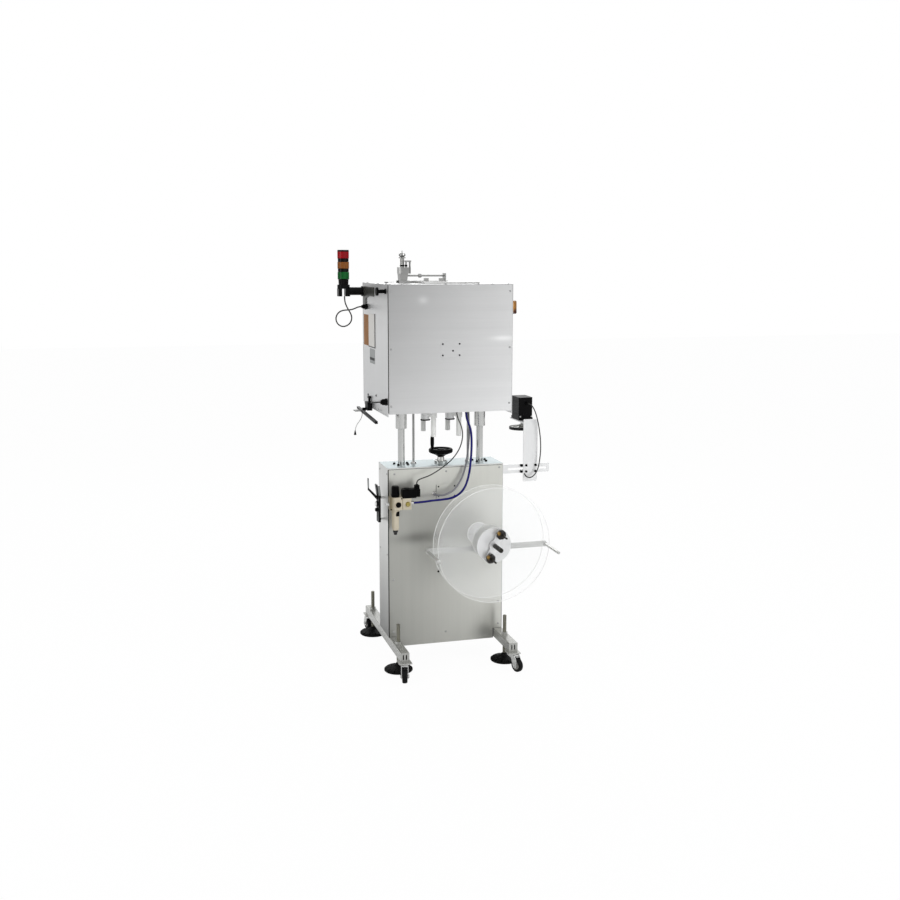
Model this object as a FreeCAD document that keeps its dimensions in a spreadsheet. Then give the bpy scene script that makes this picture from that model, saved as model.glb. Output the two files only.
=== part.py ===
import FreeCAD, Part
import math
import os
import Sketcher
from FreeCAD import Placement, Rotation, Vector

# Shrink sleeve applicator: a head box that a handwheel lifts on two columns, a cabinet on two skids,
# a film reel on the cabinet's front and a feed motor at its side. Everything is drawn from the column
# line (X 0, Y 0) and the floor (Z 0); frame_x and frame_y then move it so that the row's origin is the
# middle of the floor area. The reel side looks along -Y, the operator side along +Y.

doc = FreeCAD.newDocument("SleeveApplicator")
sheet = doc.addObject("Spreadsheet::Sheet", "Sizes")

SIZES = {
    # place of the column line in the row's frame
    "frame_x": -47, "frame_y": -20,
    # clearances: shaft in bore, pieces that pass each other, panel joints
    "fit": 0.05, "air": 0.4, "joint_gap": 0.8,
    # cabinet
    "cab_width": 525, "cab_depth": 178, "cab_bottom": 79, "cab_top": 882, "cab_sheet": 2,
    "cab_lid": 6, "cab_floor": 6, "cab_flange": 15,
    # skids, levelling feet and casters
    "skid_x": 243, "skid_tube": 40, "skid_wall": 3, "skid_top": 124, "skid_front": -308,
    "skid_rear": 405, "nut_height": 13, "nut_radius": 14, "plate_thick": 5,
    "foot_front": -189, "foot_rear": 331, "foot_radius": 62, "foot_raise": 6, "stud_radius": 8,
    "stud_top": 215, "caster_front": -300, "caster_rear": 397, "caster_trail": 32,
    "wheel_radius": 30, "wheel_width": 22, "wheel_bore": 4, "kingpin_radius": 5,
    # lift: columns, lead screws, handwheel and belt
    "column_x": 180, "column_radius": 15, "column_top": 1570, "socket_radius": 30,
    "socket_length": 28, "screw_x": 125, "screw_radius": 5, "screw_top": 1560,
    "screw_pulley": 20, "wheel_pulley": 40, "pulley_bottom": 780, "pulley_height": 20,
    "belt_thick": 3, "belt_width": 15, "drive_shaft": 7, "handwheel_radius": 53.5,
    "handwheel_rim": 7, "handwheel_rise": 56, "crank_radius": 39, "crank_pin": 4,
    "grip_radius": 8.5, "grip_length": 58,
    # reel: axis, discs and hub
    "reel_x": 147, "reel_z": 570, "disc_radius": 250, "disc_thick": 5, "disc_rear": -247,
    "disc_front": -321, "hub_radius": 62, "hub_thick": 6, "shaft_radius": 10, "shaft_end": -418,
    "reel_stud": 4, "reel_stud_circle": 55.6, "reel_stud_angle": 24.8, "core_radius": 76,
    "core_length": 10, "clamp_bar_width": 30, "clamp_bar_length": 150, "clamp_bar_thick": 8,
    "reel_knob_radius": 21, "reel_knob_length": 20, "housing_tube": 18, "housing_flange": 50,
    "housing_front": 54.5, "housing_end": -239, "guide_left": -121, "guide_right": 412,
    "guide_z": 538.5, "guide_bar_height": 25, "guide_bar_thick": 6, "guide_rod": 6.5,
    "guide_end": -400,
    # air preparation unit
    "air_y": -145, "air_x": -242.5, "air_body_width": 54, "air_body_depth": 46,
    "air_body_bottom": 713, "air_body_top": 767, "bowl_radius": 15.5, "bowl_bottom": 623,
    "air_knob_radius": 18, "air_knob_top": 815, "outlet_width": 40, "line_z": 737,
    "port_radius": 4, "hose_radius": 5,
    # feed group at the cabinet's right side
    "feed_bar_y": -60, "feed_bar_thick": 10, "feed_bar_bottom": 828, "feed_bar_height": 40,
    "feed_bar_end": 491, "upright_left": 366, "upright_width": 66, "upright_thick": 6,
    "upright_bottom": 789, "upright_top": 1070, "shelf_length": 200, "shelf_thick": 6,
    "motor_x": 398, "motor_y": 50, "motor_width": 65, "motor_depth": 100, "motor_height": 92,
    "motor_flange": 12, "motor_shaft": 6, "feed_wheel_radius": 58, "feed_wheel_thick": 12,
    "feed_wheel_z": 1010,
    # head box
    "head_width": 550.8, "head_front": -164, "head_rear": 329, "head_top": 1669,
    "head_skirt": 1114.5, "head_floor": 1128, "head_floor_thick": 10, "head_sheet": 2,
    "head_flange": 18, "housing_radius": 24.5, "housing_bottom": 1041, "housing_top": 1200,
    "rail_x": 57, "rail_width": 24, "rail_length": 200, "rail_height": 32, "post_y": 88,
    "post_radius": 11, "post_bottom": 1013, "door_thick": 2, "door_depth": 12, "hinge_offset": 5.2,
    "hinge_radius": 4.5,
    # film path through the head
    "film_x": -120, "film_y": 215, "mandrel_radius": 28, "mandrel_bottom": 1084,
    "mandrel_top": 1640, "opener_top": 1812, "opener_rod": 9, "roller_radius": 14,
    "roller_width": 40, "roller_z": 1300, "cheek_gap": 62, "cheek_thick": 8,
    # signal tower, its arm and the fittings of the left side
    "tower_x": -371, "tower_y": 300, "tower_radius": 26, "tower_height": 154,
    "arm_drop": 38, "arm_radius": 18, "bracket_thick": 4,
    "switch_y": -105, "switch_z": 1569,
}

for row, (alias, number) in enumerate(SIZES.items(), start=1):
    sheet.set(f"A{row}", alias)
    sheet.set(f"B{row}", str(number))
    sheet.setAlias(f"B{row}", alias)
doc.recompute()


class Length:
    """A number together with the sheet expression that it comes from."""

    def __init__(self, number, text):
        self.number = float(number)
        self.text = text

    def __add__(self, other):
        return Length(self.number + number(other), f"({self.text} + {text(other)})")

    def __sub__(self, other):
        return Length(self.number - number(other), f"({self.text} - {text(other)})")

    def __mul__(self, other):
        return Length(self.number * number(other), f"({self.text} * {text(other)})")

    def __truediv__(self, other):
        return Length(self.number / number(other), f"({self.text} / {text(other)})")

    def __neg__(self):
        return Length(-self.number, f"(0 - {self.text})")

    def __radd__(self, other):
        return Length(number(other), text(other)) + self

    def __rsub__(self, other):
        return Length(number(other), text(other)) - self

    def __rmul__(self, other):
        return Length(number(other), text(other)) * self


def number(length):
    return length.number if isinstance(length, Length) else float(length)


def text(length):
    return length.text if isinstance(length, Length) else f"({float(length)!r})"


class Sizes:
    """The cells of the sheet by their aliases."""

    def __getattr__(self, alias):
        return Length(sheet.get(alias), f"Sizes.{alias}")


S = Sizes()
nodes = []


def bind(thing, setting, length):
    thing.setExpression(setting, text(length))


# Outlines for the sketches: a closed run of corners, or a circle.

def polygon(*corners):
    return ("polygon", corners)


def rectangle(left, low, right, high):
    return polygon((left, low), (right, low), (right, high), (left, high))


def circle(x, y, radius):
    return ("circle", (x, y, radius))


def hexagon(x, y, radius):
    turns = [math.radians(60 * side) for side in range(6)]
    return polygon(*[(x + radius * math.cos(turn), y + radius * math.sin(turn)) for turn in turns])


def slot(x, y, half_length, radius):
    """An upright slot made as an octagon-ended strip."""
    end, side = half_length, radius
    cut = radius * 0.5
    return polygon((x - side, y - end + cut), (x - cut, y - end), (x + cut, y - end),
                   (x + side, y - end + cut), (x + side, y + end - cut), (x + cut, y + end),
                   (x - cut, y + end), (x - side, y + end - cut))


def pin_point(flat, geometry, point, x, y):
    for kind, length, axis in (("DistanceX", x, -2), ("DistanceY", y, -1)):
        if isinstance(length, Length):
            datum = flat.addConstraint(Sketcher.Constraint(kind, -1, 1, geometry, point, number(length)))
            bind(flat, f"Constraints[{datum}]", length)
        elif length == 0:
            flat.addConstraint(Sketcher.Constraint("PointOnObject", geometry, point, axis))
        else:
            flat.addConstraint(Sketcher.Constraint(kind, -1, 1, geometry, point, number(length)))


def draw(flat, outline):
    kind, values = outline
    if kind == "circle":
        x, y, radius = values
        shape = Part.Circle(Vector(number(x), number(y), 0), Vector(0, 0, 1), number(radius))
        index = flat.addGeometry(shape, False)
        pin_point(flat, index, 3, x, y)
        datum = flat.addConstraint(Sketcher.Constraint("Radius", index, number(radius)))
        bind(flat, f"Constraints[{datum}]", radius)
        return
    corners = [Vector(number(x), number(y), 0) for x, y in values]
    first = flat.GeometryCount
    for start, end in zip(corners, corners[1:] + corners[:1]):
        flat.addGeometry(Part.LineSegment(start, end), False)
    for index, (x, y) in enumerate(values):
        following = first + (index + 1) % len(values)
        flat.addConstraint(Sketcher.Constraint("Coincident", first + index, 2, following, 1))
        pin_point(flat, first + index, 1, x, y)


# Features of a body. A stretch runs from start to end along +X, +Y or +Z, across the named plane.

NORMAL = {"XY": 1, "XZ": -1, "YZ": 1}


def body(name):
    return doc.addObject("PartDesign::Body", name)


def sketch(part, plane, place, outlines):
    origin = [item for item in part.Origin.OriginFeatures if item.Role == plane + "_Plane"][0]
    flat = part.newObject("Sketcher::SketchObject", part.Name + "_sketch")
    flat.AttachmentSupport = (origin, [""])
    flat.MapMode = "FlatFace"
    bind(flat, "AttachmentOffset.Base.z", NORMAL[plane] * place)
    for outline in outlines:
        draw(flat, outline)
    return flat


def add(part, plane, start, end, *outlines):
    flat = sketch(part, plane, start, outlines)
    feature = part.newObject("PartDesign::Pad", part.Name + "_pad")
    feature.Profile = flat
    bind(feature, "Length", end - start)
    feature.Reversed = NORMAL[plane] < 0
    return feature


def cut(part, plane, start, end, *outlines):
    flat = sketch(part, plane, start, outlines)
    feature = part.newObject("PartDesign::Pocket", part.Name + "_pocket")
    feature.Profile = flat
    bind(feature, "Length", end - start)
    feature.Reversed = NORMAL[plane] > 0
    return feature


def turn(part, *profile):
    """Turns a profile of (radius, height) corners about the body's own Z."""
    flat = sketch(part, "XZ", 0, [polygon(*profile)])
    feature = part.newObject("PartDesign::Revolution", part.Name + "_turning")
    feature.Profile = flat
    feature.ReferenceAxis = (flat, ["V_Axis"])
    feature.Angle = 360
    return feature


def around(part, feature, count):
    """Repeats the last cut or pad round the body's own Z."""
    pattern = part.newObject("PartDesign::PolarPattern", part.Name + "_pattern")
    pattern.Originals = [feature]
    axis = [item for item in part.Origin.OriginFeatures if item.Role == "Z_Axis"][0]
    pattern.Axis = (axis, [""])
    pattern.Angle = 360
    pattern.Occurrences = count
    part.Tip = pattern
    return pattern


def soften(part, radius, chosen):
    """Rounds the edges of the last feature that the test picks."""
    doc.recompute()
    base = part.Tip
    picked = [f"Edge{i}" for i, edge in enumerate(base.Shape.Edges, start=1) if chosen(edge)]
    feature = part.newObject("PartDesign::Fillet", part.Name + "_fillet")
    feature.Base = (base, picked)
    bind(feature, "Radius", radius)
    return feature


def along(axis):
    """A test that picks the straight edges that run along one axis."""
    def chosen(edge):
        if not isinstance(edge.Curve, Part.Line):
            return False
        return abs(edge.Curve.Direction.dot(axis)) > 0.999
    return chosen


FACING = {
    "up": Rotation(),
    "down": Rotation(Vector(1, 0, 0), 180),
    "front": Rotation(Vector(1, 0, 0), 90),
    "back": Rotation(Vector(1, 0, 0), -90),
    "left": Rotation(Vector(0, 1, 0), -90),
    "right": Rotation(Vector(0, 1, 0), 90),
}


def place(thing, x=0, y=0, z=0, facing="up", spin=0):
    """Puts a thing at a point of the machine; facing is where its own Z looks, spin turns it there."""
    rotation = FACING[facing].multiply(Rotation(Vector(0, 0, 1), spin))
    thing.Placement = Placement(Vector(0, 0, 0), rotation)
    bind(thing, "Placement.Base.x", S.frame_x + x)
    bind(thing, "Placement.Base.y", S.frame_y + y)
    bind(thing, "Placement.Base.z", z)
    return thing


def node(thing, label):
    thing.Label = label
    nodes.append(thing)
    return thing


def group(label, things):
    together = doc.addObject("Part::Compound", label)
    together.Links = things
    return node(together, label)


# Cabinet: a welded sheet shell, open to the reel side, with corners cut out for the skids, flanges that
# the screwed front panel lies on, a thick lid and floor, and sockets that hold the two columns.

half = S.cab_width / 2
front = -S.cab_depth / 2
rear = S.cab_depth / 2
skid_inner = S.skid_x - S.skid_tube / 2 - S.joint_gap


def corner_outline(side, low, high, notch, inner):
    """The cabinet's outline seen from the front, without the skids' corners."""
    return polygon((-side, notch), (-inner, notch), (-inner, low), (inner, low), (inner, notch),
                   (side, notch), (side, high), (-side, high))


def cabinet_shell():
    part = body("cabinet_shell")
    add(part, "XZ", front, rear,
        corner_outline(half, S.cab_bottom, S.cab_top, S.skid_top, skid_inner))
    inside = half - S.cab_sheet
    behind = front + S.cab_sheet
    low = S.skid_top + S.cab_floor
    high = S.cab_top - S.cab_lid
    cut(part, "XZ", behind + S.cab_sheet, rear - S.cab_sheet, rectangle(-inside, low, inside, high))
    cut(part, "XZ", front, behind + S.cab_sheet,
        rectangle(-inside + S.cab_flange, low, inside - S.cab_flange, high - S.cab_flange))
    cut(part, "XZ", front, behind, rectangle(-inside, S.skid_top, inside, high))
    cut(part, "XZ", front, rear - S.cab_sheet,
        rectangle(-skid_inner + S.cab_sheet, S.cab_bottom, skid_inner - S.cab_sheet, S.skid_top))
    sockets = [circle(side * S.column_x, 0, S.socket_radius) for side in (-1, 1)]
    add(part, "XY", high - S.socket_length, high, *sockets)
    add(part, "XY", low, low + S.socket_length, *sockets)
    column_holes = [circle(side * S.column_x, 0, S.column_radius + S.fit) for side in (-1, 1)]
    screw_holes = [circle(side * S.screw_x, 0, bearing_spigot) for side in (-1, 1)]
    cut(part, "XY", high - S.socket_length - 1, S.cab_top + 1, *column_holes)
    cut(part, "XY", low, low + S.socket_length + 1, *column_holes)
    cut(part, "XY", high - 1, S.cab_top + 1, *screw_holes, circle(0, 0, wheel_spigot))
    node(place(part), "cabinet_shell")


def cabinet_panel():
    part = body("cabinet_panel")
    inside = half - S.cab_sheet - S.joint_gap
    behind = front + S.cab_sheet
    add(part, "XZ", front, behind,
        corner_outline(inside, S.cab_bottom, S.cab_top - S.cab_lid - S.joint_gap,
                       S.skid_top + S.joint_gap, skid_inner - S.cab_sheet - S.joint_gap))
    cut(part, "XZ", front, behind, circle(S.reel_x, S.reel_z, S.shaft_radius + 3))
    node(place(part), "cabinet_panel")


# Skids: two square tubes, closed by slotted end caps, drilled for the feet's studs, with a welded nut
# over each stud and a plate under each end for the caster's kingpin.

def skid(side):
    part = body("skid_left" if side < 0 else "skid_right")
    centre = side * S.skid_x
    reach = S.skid_tube / 2
    bottom = S.skid_top - S.skid_tube
    inner = reach - S.skid_wall
    add(part, "XZ", S.skid_front, S.skid_rear,
        rectangle(centre - reach, bottom, centre + reach, S.skid_top))
    cut(part, "XZ", S.skid_front + S.skid_wall, S.skid_rear - S.skid_wall,
        rectangle(centre - inner, bottom + S.skid_wall, centre + inner, S.skid_top - S.skid_wall))
    middle = (S.skid_top + bottom) / 2
    slots = [slot(centre + shift, middle, 11, 2.6) for shift in (-6.5, 6.5)]
    cut(part, "XZ", S.skid_front - 1, S.skid_front + S.skid_wall + 1, *slots)
    cut(part, "XZ", S.skid_rear - S.skid_wall - 1, S.skid_rear + 1, *slots)
    feet = (S.foot_front, S.foot_rear)
    add(part, "XY", S.skid_top, S.skid_top + S.nut_height,
        *[hexagon(centre, y, S.nut_radius) for y in feet])
    ends = (S.caster_front, S.caster_rear)
    add(part, "XY", bottom - S.plate_thick, bottom,
        *[rectangle(centre - 27, y - 30, centre + 27, y + 30) for y in ends])
    soften(part, 3, lambda edge: along(Vector(0, 1, 0))(edge) and edge.Length > 600
           and abs(abs(edge.CenterOfMass.x - number(centre)) - number(reach)) < 0.1)
    cut(part, "XY", bottom - S.plate_thick - 1, S.skid_top + S.nut_height + 1,
        *[circle(centre, y, S.stud_radius + S.fit) for y in feet])
    cut(part, "XY", bottom - S.plate_thick - 1, bottom + S.skid_wall + 1,
        *[circle(centre, y, S.kingpin_radius + S.fit) for y in ends])
    return place(part)


# Levelling foot: a rubber pad with a domed cover, a hexagon to turn it and a long threaded stud.

def levelling_foot(label, side, y):
    part = body(label)
    low = S.foot_raise
    turn(part, (0, low), (S.foot_radius - 3, low), (S.foot_radius, low + 3), (S.foot_radius, low + 9),
         (S.foot_radius - 6, low + 14), (26, low + 21), (16, low + 25), (S.stud_radius + 4, low + 33),
         (S.stud_radius, low + 34), (S.stud_radius, S.stud_top - 2), (S.stud_radius - 2, S.stud_top),
         (0, S.stud_top))
    ribs = cut(part, "XY", low + 9, low + 30,
               polygon((44, -1.6), (S.foot_radius + 2, -2.6), (S.foot_radius + 2, 2.6), (44, 1.6)))
    around(part, ribs, 12)
    node(place(part, side * S.skid_x, y), label)


# Caster: a pressed fork under a swivel race, with a kingpin that turns in the skid's plate, and a
# tyred wheel on a bolt. Each fork is drawn with its wheel trailing along -Y and is then turned.

def caster(label, side, y, heading):
    fork = body("caster_fork_" + label)
    race = S.skid_top - S.skid_tube - S.plate_thick - S.air
    crown = race - 5
    axle = S.wheel_radius
    clear = S.wheel_width / 2 + 2
    outer = clear + 2.5
    back = -S.caster_trail
    add(fork, "YZ", -outer, outer,
        polygon((19, crown), (-30, crown), (back - 12, axle + 16), (back - 12, axle - 4),
                (back - 6, axle - 11),
                (back + 6, axle - 11), (back + 12, axle - 4), (-8, crown - 14), (19, crown - 6)))
    cut(fork, "YZ", -clear, clear, rectangle(-60, 0, 30, crown - 3))
    add(fork, "XY", crown, race, circle(0, 0, 25))
    add(fork, "XY", race - 1, race + S.plate_thick + S.skid_wall + 2, circle(0, 0, S.kingpin_radius))
    add(fork, "YZ", -outer - 4, outer + 4, circle(back, axle, S.wheel_bore))
    add(fork, "YZ", -outer - 4, -outer, circle(back, axle, 7))
    add(fork, "YZ", outer, outer + 4, circle(back, axle, 7))
    x = side * S.skid_x
    node(place(fork, x, y, 0, "up", heading), "caster_fork_" + label)

    wheel = body("caster_wheel_" + label)
    tread = S.wheel_width / 2
    hub = tread + 1
    rim = S.wheel_radius
    bore = S.wheel_bore + S.fit
    turn(wheel, (bore, -hub), (10, -hub), (10, -tread + 2), (19, -tread + 2), (21, -tread),
         (rim - 4, -tread),
         (rim - 1, -tread + 3), (rim, -tread + 7), (rim, tread - 7), (rim - 1, tread - 3), (rim - 4, tread),
         (21, tread), (19, tread - 2), (10, tread - 2), (10, hub), (bore, hub))
    swing = math.radians(heading)
    place(wheel, x + S.caster_trail * math.sin(swing), y - S.caster_trail * math.cos(swing), axle)
    wheel.Placement.Rotation = Rotation(Vector(0, 0, 1), heading).multiply(FACING["right"])
    node(wheel, "caster_wheel_" + label)


# Lift: ground columns, lead screws with pulleys, bearings in the lid, and one belt that ties the two
# screws to the handwheel's shaft.

bearing_spigot = S.screw_radius + 4
wheel_spigot = S.drive_shaft + 9


def lift_columns():
    bars = []
    for side in (-1, 1):
        part = body("column")
        foot = S.skid_top + S.cab_floor
        turn(part, (0, foot), (S.column_radius, foot), (S.column_radius, S.column_top - 3),
             (S.column_radius - 3, S.column_top), (0, S.column_top))
        bars.append(place(part, side * S.column_x))
    group("lift_columns", bars)


def pulley_profile(shaft, radius):
    """Half of a belt pulley with two thin flanges, as corners for turn."""
    low = S.pulley_bottom
    high = low + S.pulley_height
    lip = (S.pulley_height - S.belt_width) / 2 - S.air
    return ((shaft, low), (radius + 2, low), (radius + 2, low + lip), (radius, low + lip),
            (radius, high - lip), (radius + 2, high - lip), (radius + 2, high), (shaft, high))


def lead_screw(label, side):
    part = body(label)
    collar = S.cab_top - S.cab_lid - 16
    screw = S.screw_radius
    turn(part, (0, S.pulley_bottom - 6), (screw, S.pulley_bottom - 6),
         *pulley_profile(screw, S.screw_pulley),
         (screw, collar - 12), (screw + 4, collar - 12), (screw + 4, collar), (screw, collar),
         (screw, S.screw_top - 1), (screw - 1, S.screw_top), (0, S.screw_top))
    node(place(part, side * S.screw_x), label)


def drive_bearings():
    blocks = []
    lid = S.cab_top
    for side in (-1, 1):
        part = body("screw_bearing")
        bore = S.screw_radius + S.fit
        spigot = bearing_spigot - S.fit
        turn(part, (bore, lid - 15), (spigot, lid - 15), (spigot, lid), (13, lid), (13, lid + 4),
             (10, lid + 9), (bore, lid + 9))
        blocks.append(place(part, side * S.screw_x))
    part = body("wheel_bearing")
    bore = S.drive_shaft + S.fit
    spigot = wheel_spigot - S.fit
    turn(part, (bore, lid - 15), (spigot, lid - 15), (spigot, lid), (29, lid), (29, lid + 9),
         (27, lid + 11),
         (17, lid + 11), (14, lid + 26), (bore, lid + 26))
    bolt = cut(part, "XY", lid + 5, lid + 12, circle(23, 0, 3.2))
    around(part, bolt, 4)
    blocks.append(place(part, 0, 0, 0, "up", 45))
    group("drive_bearings", blocks)


def belt_loop(small, big, spread):
    """The outline round a small circle at each side and a big one between them, as one wire."""
    lean = math.acos((big - small) / spread)
    edges = []
    touch = {}
    for side in (-1, 1):
        for up in (-1, 1):
            ray = Vector(side * math.cos(lean), up * math.sin(lean), 0)
            touch[side, up] = (Vector(side * spread, 0, 0) + ray * small, ray * big)
    for side in (-1, 1):
        end = Vector(side * (spread + small), 0, 0)
        edges.append(Part.Arc(touch[side, -1][0], end, touch[side, 1][0]).toShape())
        for up in (-1, 1):
            edges.append(Part.LineSegment(*touch[side, up]).toShape())
    for up in (-1, 1):
        edges.append(Part.Arc(touch[-1, up][1], Vector(0, up * big, 0), touch[1, up][1]).toShape())
    return Part.Wire(Part.__sortEdges__(edges))


def drive_belt():
    spread = number(S.screw_x)
    inner = belt_loop(number(S.screw_pulley + S.air), number(S.wheel_pulley + S.air), spread)
    outer = belt_loop(number(S.screw_pulley + S.air + S.belt_thick),
                      number(S.wheel_pulley + S.air + S.belt_thick), spread)
    width = Vector(0, 0, number(S.belt_width))
    band = Part.Face(outer).extrude(width).cut(Part.Face(inner).extrude(width))
    thing = doc.addObject("Part::Feature", "drive_belt")
    thing.Shape = band
    low = S.pulley_bottom + (S.pulley_height - S.belt_width) / 2
    node(place(thing, 0, 0, low), "drive_belt")


# Handwheel: a dished three-spoke wheel on the drive shaft with its pulley, and a grip that turns on a
# pin at the rim.

wheel_level = S.cab_top + S.handwheel_rise


def handwheel():
    part = body("handwheel")
    level = wheel_level
    rim = S.handwheel_radius
    thick = S.handwheel_rim
    shaft = S.drive_shaft
    neck = level - 30
    turn(part, (0, S.pulley_bottom - 6), (shaft, S.pulley_bottom - 6),
         *pulley_profile(shaft, S.wheel_pulley),
         (shaft, neck), (13, neck), (16, level - 27), (24, level - 21), (rim - thick * 1.6, level - 14),
         (rim - thick * 0.5, level - 11), (rim, level - 6), (rim, level + 3),
         (rim - thick * 0.5, level + 7),
         (rim - thick * 1.5, level + 7), (rim - thick * 2, level + 3), (17, level + 1), (14, level + 6),
         (0, level + 8))
    opening = cut(part, "XY", level - 30, level + 12,
                  polygon((21, -9), (27, -14), (35, -15), (38, -8), (38, 8), (35, 15), (27, 14), (21, 9)))
    around(part, opening, 3)
    pin = add(part, "XY", level, level + S.grip_length + 6, circle(S.crank_radius * -1, 0, S.crank_pin))
    part.Tip = pin
    node(place(part), "handwheel")


def crank_grip():
    part = body("crank_grip")
    low = wheel_level + S.handwheel_rim + S.air
    bore = S.crank_pin + S.fit
    grip = S.grip_radius
    roof = wheel_level + S.grip_length + 6 + S.air
    turn(part, (bore, low), (grip - 3, low), (grip - 1.5, low + 6), (grip, low + S.grip_length * 0.4),
         (grip, low + S.grip_length * 0.75), (grip - 2, low + S.grip_length), (grip - 5, roof + 4),
         (0, roof + 4),
         (0, roof), (bore, roof))
    node(place(part, S.crank_radius * -1, 0), "crank_grip")


# Reel: a flanged housing on the panel, a shaft with a welded hub flange and two long studs, the rear
# disc, and a front disc that slides on shaft and studs and is clamped by a bar and two knobs.

def reel_depth(y):
    """Distance in front of the cabinet's panel."""
    return front - y


def reel_housing():
    part = body("reel_housing")
    bore = S.shaft_radius + S.fit
    tube = S.housing_tube
    end = reel_depth(S.housing_end)
    turn(part, (bore, 0), (S.housing_flange, 0), (S.housing_flange, 7), (S.housing_flange - 2, 9),
         (tube + 6, 9),
         (tube, 18), (tube, end - 10), (S.housing_front, end - 10), (S.housing_front, end - 1),
         (S.housing_front - 1, end), (bore, end))
    bolt = cut(part, "XY", 4, 10, circle(S.housing_flange - 9, 0, 4))
    around(part, bolt, 6)
    node(place(part, S.reel_x, front, S.reel_z, "front"), "reel_housing")


def stud_places():
    """The two studs in the reel's own plane, across its axis."""
    lean = math.radians(90 - number(S.reel_stud_angle))
    reach = S.reel_stud_circle
    return [(reach * math.cos(lean) * side, reach * math.sin(lean) * side) for side in (1, -1)]


def reel_hub():
    part = body("reel_hub")
    shaft = S.shaft_radius
    seat = reel_depth(S.disc_rear)
    end = reel_depth(S.shaft_end)
    core = seat + S.disc_thick + S.core_length
    turn(part, (0, -18), (16, -18), (16, -6), (shaft, -6), (shaft, seat - S.hub_thick),
         (S.hub_radius, seat - S.hub_thick), (S.hub_radius, seat), (20, seat), (20, seat + S.disc_thick),
         (S.core_radius, seat + S.disc_thick), (S.core_radius, core), (shaft, core), (shaft, end - 2),
         (shaft - 2, end), (0, end))
    add(part, "XY", seat - 1, end, *[circle(x, y, S.reel_stud) for x, y in stud_places()])
    node(place(part, S.reel_x, front, S.reel_z, "front"), "reel_hub")


def reel_disc(label, near, centre_hole, stud_hole):
    part = body(label)
    far = near + S.disc_thick
    add(part, "XY", near, far, circle(0, 0, S.disc_radius), circle(0, 0, centre_hole),
        *[circle(x, y, stud_hole) for x, y in stud_places()])
    node(place(part, S.reel_x, front, S.reel_z, "front"), label)


def reel_clamp_bar():
    part = body("reel_clamp_bar")
    bore = S.shaft_radius + S.fit
    back = reel_depth(S.disc_front)
    face = back + S.disc_thick
    turn(part, (bore, back - S.core_length), (S.core_radius, back - S.core_length), (S.core_radius, back),
         (20, back), (20, face), (24, face), (24, face + S.clamp_bar_thick),
         (bore, face + S.clamp_bar_thick))
    lean = math.radians(90 - number(S.reel_stud_angle))
    run = Vector(math.cos(lean), math.sin(lean), 0)
    across = Vector(-run.y, run.x, 0)
    long_side = S.clamp_bar_length / 2
    short_side = S.clamp_bar_width / 2
    corners = [(run.x * u * long_side + across.x * v * short_side,
                run.y * u * long_side + across.y * v * short_side)
               for u, v in ((-1, -1), (1, -1), (1, 1), (-1, 1))]
    add(part, "XY", face, face + S.clamp_bar_thick, polygon(*corners))
    soften(part, 8, lambda edge: along(Vector(0, 0, 1))(edge)
           and math.hypot(edge.CenterOfMass.x, edge.CenterOfMass.y) > 60)
    holes = [circle(0, 0, bore)] + [circle(x, y, S.reel_stud + S.fit) for x, y in stud_places()]
    cut(part, "XY", back - 20, face + S.clamp_bar_thick + 1, *holes)
    node(place(part, S.reel_x, front, S.reel_z, "front"), "reel_clamp_bar")


def reel_knob(label, index):
    part = body(label)
    bore = S.reel_stud + S.fit
    low = reel_depth(S.disc_front) + S.disc_thick + S.clamp_bar_thick + S.air
    knob = S.reel_knob_radius
    length = S.reel_knob_length
    turn(part, (bore, low), (9, low), (10, low + 4), (knob - 2, low + 5), (knob, low + 7),
         (knob, low + length - 5),
         (knob - 3, low + length - 1.5), (knob - 7, low + length), (7, low + length), (6, low + length - 3),
         (bore, low + length - 3))
    dent = cut(part, "XY", low + 4, low + length + 1, circle(knob + 3, 0, 5))
    around(part, dent, 8)
    x, y = stud_places()[index]
    node(place(part, S.reel_x + x, front, S.reel_z + y, "front"), label)


def film_guide():
    part = body("film_guide")
    back = S.housing_end + 10
    low = S.guide_z - S.guide_bar_height / 2
    high = low + S.guide_bar_height
    rod = S.guide_rod
    add(part, "XZ", back, back + S.guide_bar_thick,
        rectangle(S.guide_left - rod, low, S.guide_right + rod, high))
    soften(part, 6, along(Vector(0, 1, 0)))
    add(part, "XZ", S.guide_end, back + 1, circle(S.guide_left, S.guide_z, rod),
        circle(S.guide_right, S.guide_z, rod))
    add(part, "XZ", back - 8, back, circle(S.guide_left, S.guide_z, rod + 3.5),
        circle(S.guide_right, S.guide_z, rod + 3.5))
    soften(part, 2.5, lambda edge: isinstance(edge.Curve, Part.Circle) and edge.CenterOfMass.x > 0
           and abs(edge.CenterOfMass.y - number(S.guide_end)) < 0.1)
    add(part, "XZ", S.guide_end - 12, S.guide_end + 8, circle(S.guide_left, S.guide_z, 10))
    for radius, y in ((9, S.guide_end - 12), (3, S.guide_end + 8)):
        soften(part, radius, lambda edge: isinstance(edge.Curve, Part.Circle)
               and edge.Curve.Radius > 9.9 and abs(edge.CenterOfMass.y - number(y)) < 0.1)
    node(place(part), "film_guide")


# Air preparation: a cast regulator body with its bowl and outlet block on a bracket, a knob on top, a
# shut-off valve over the outlet and push-in fittings.

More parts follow.
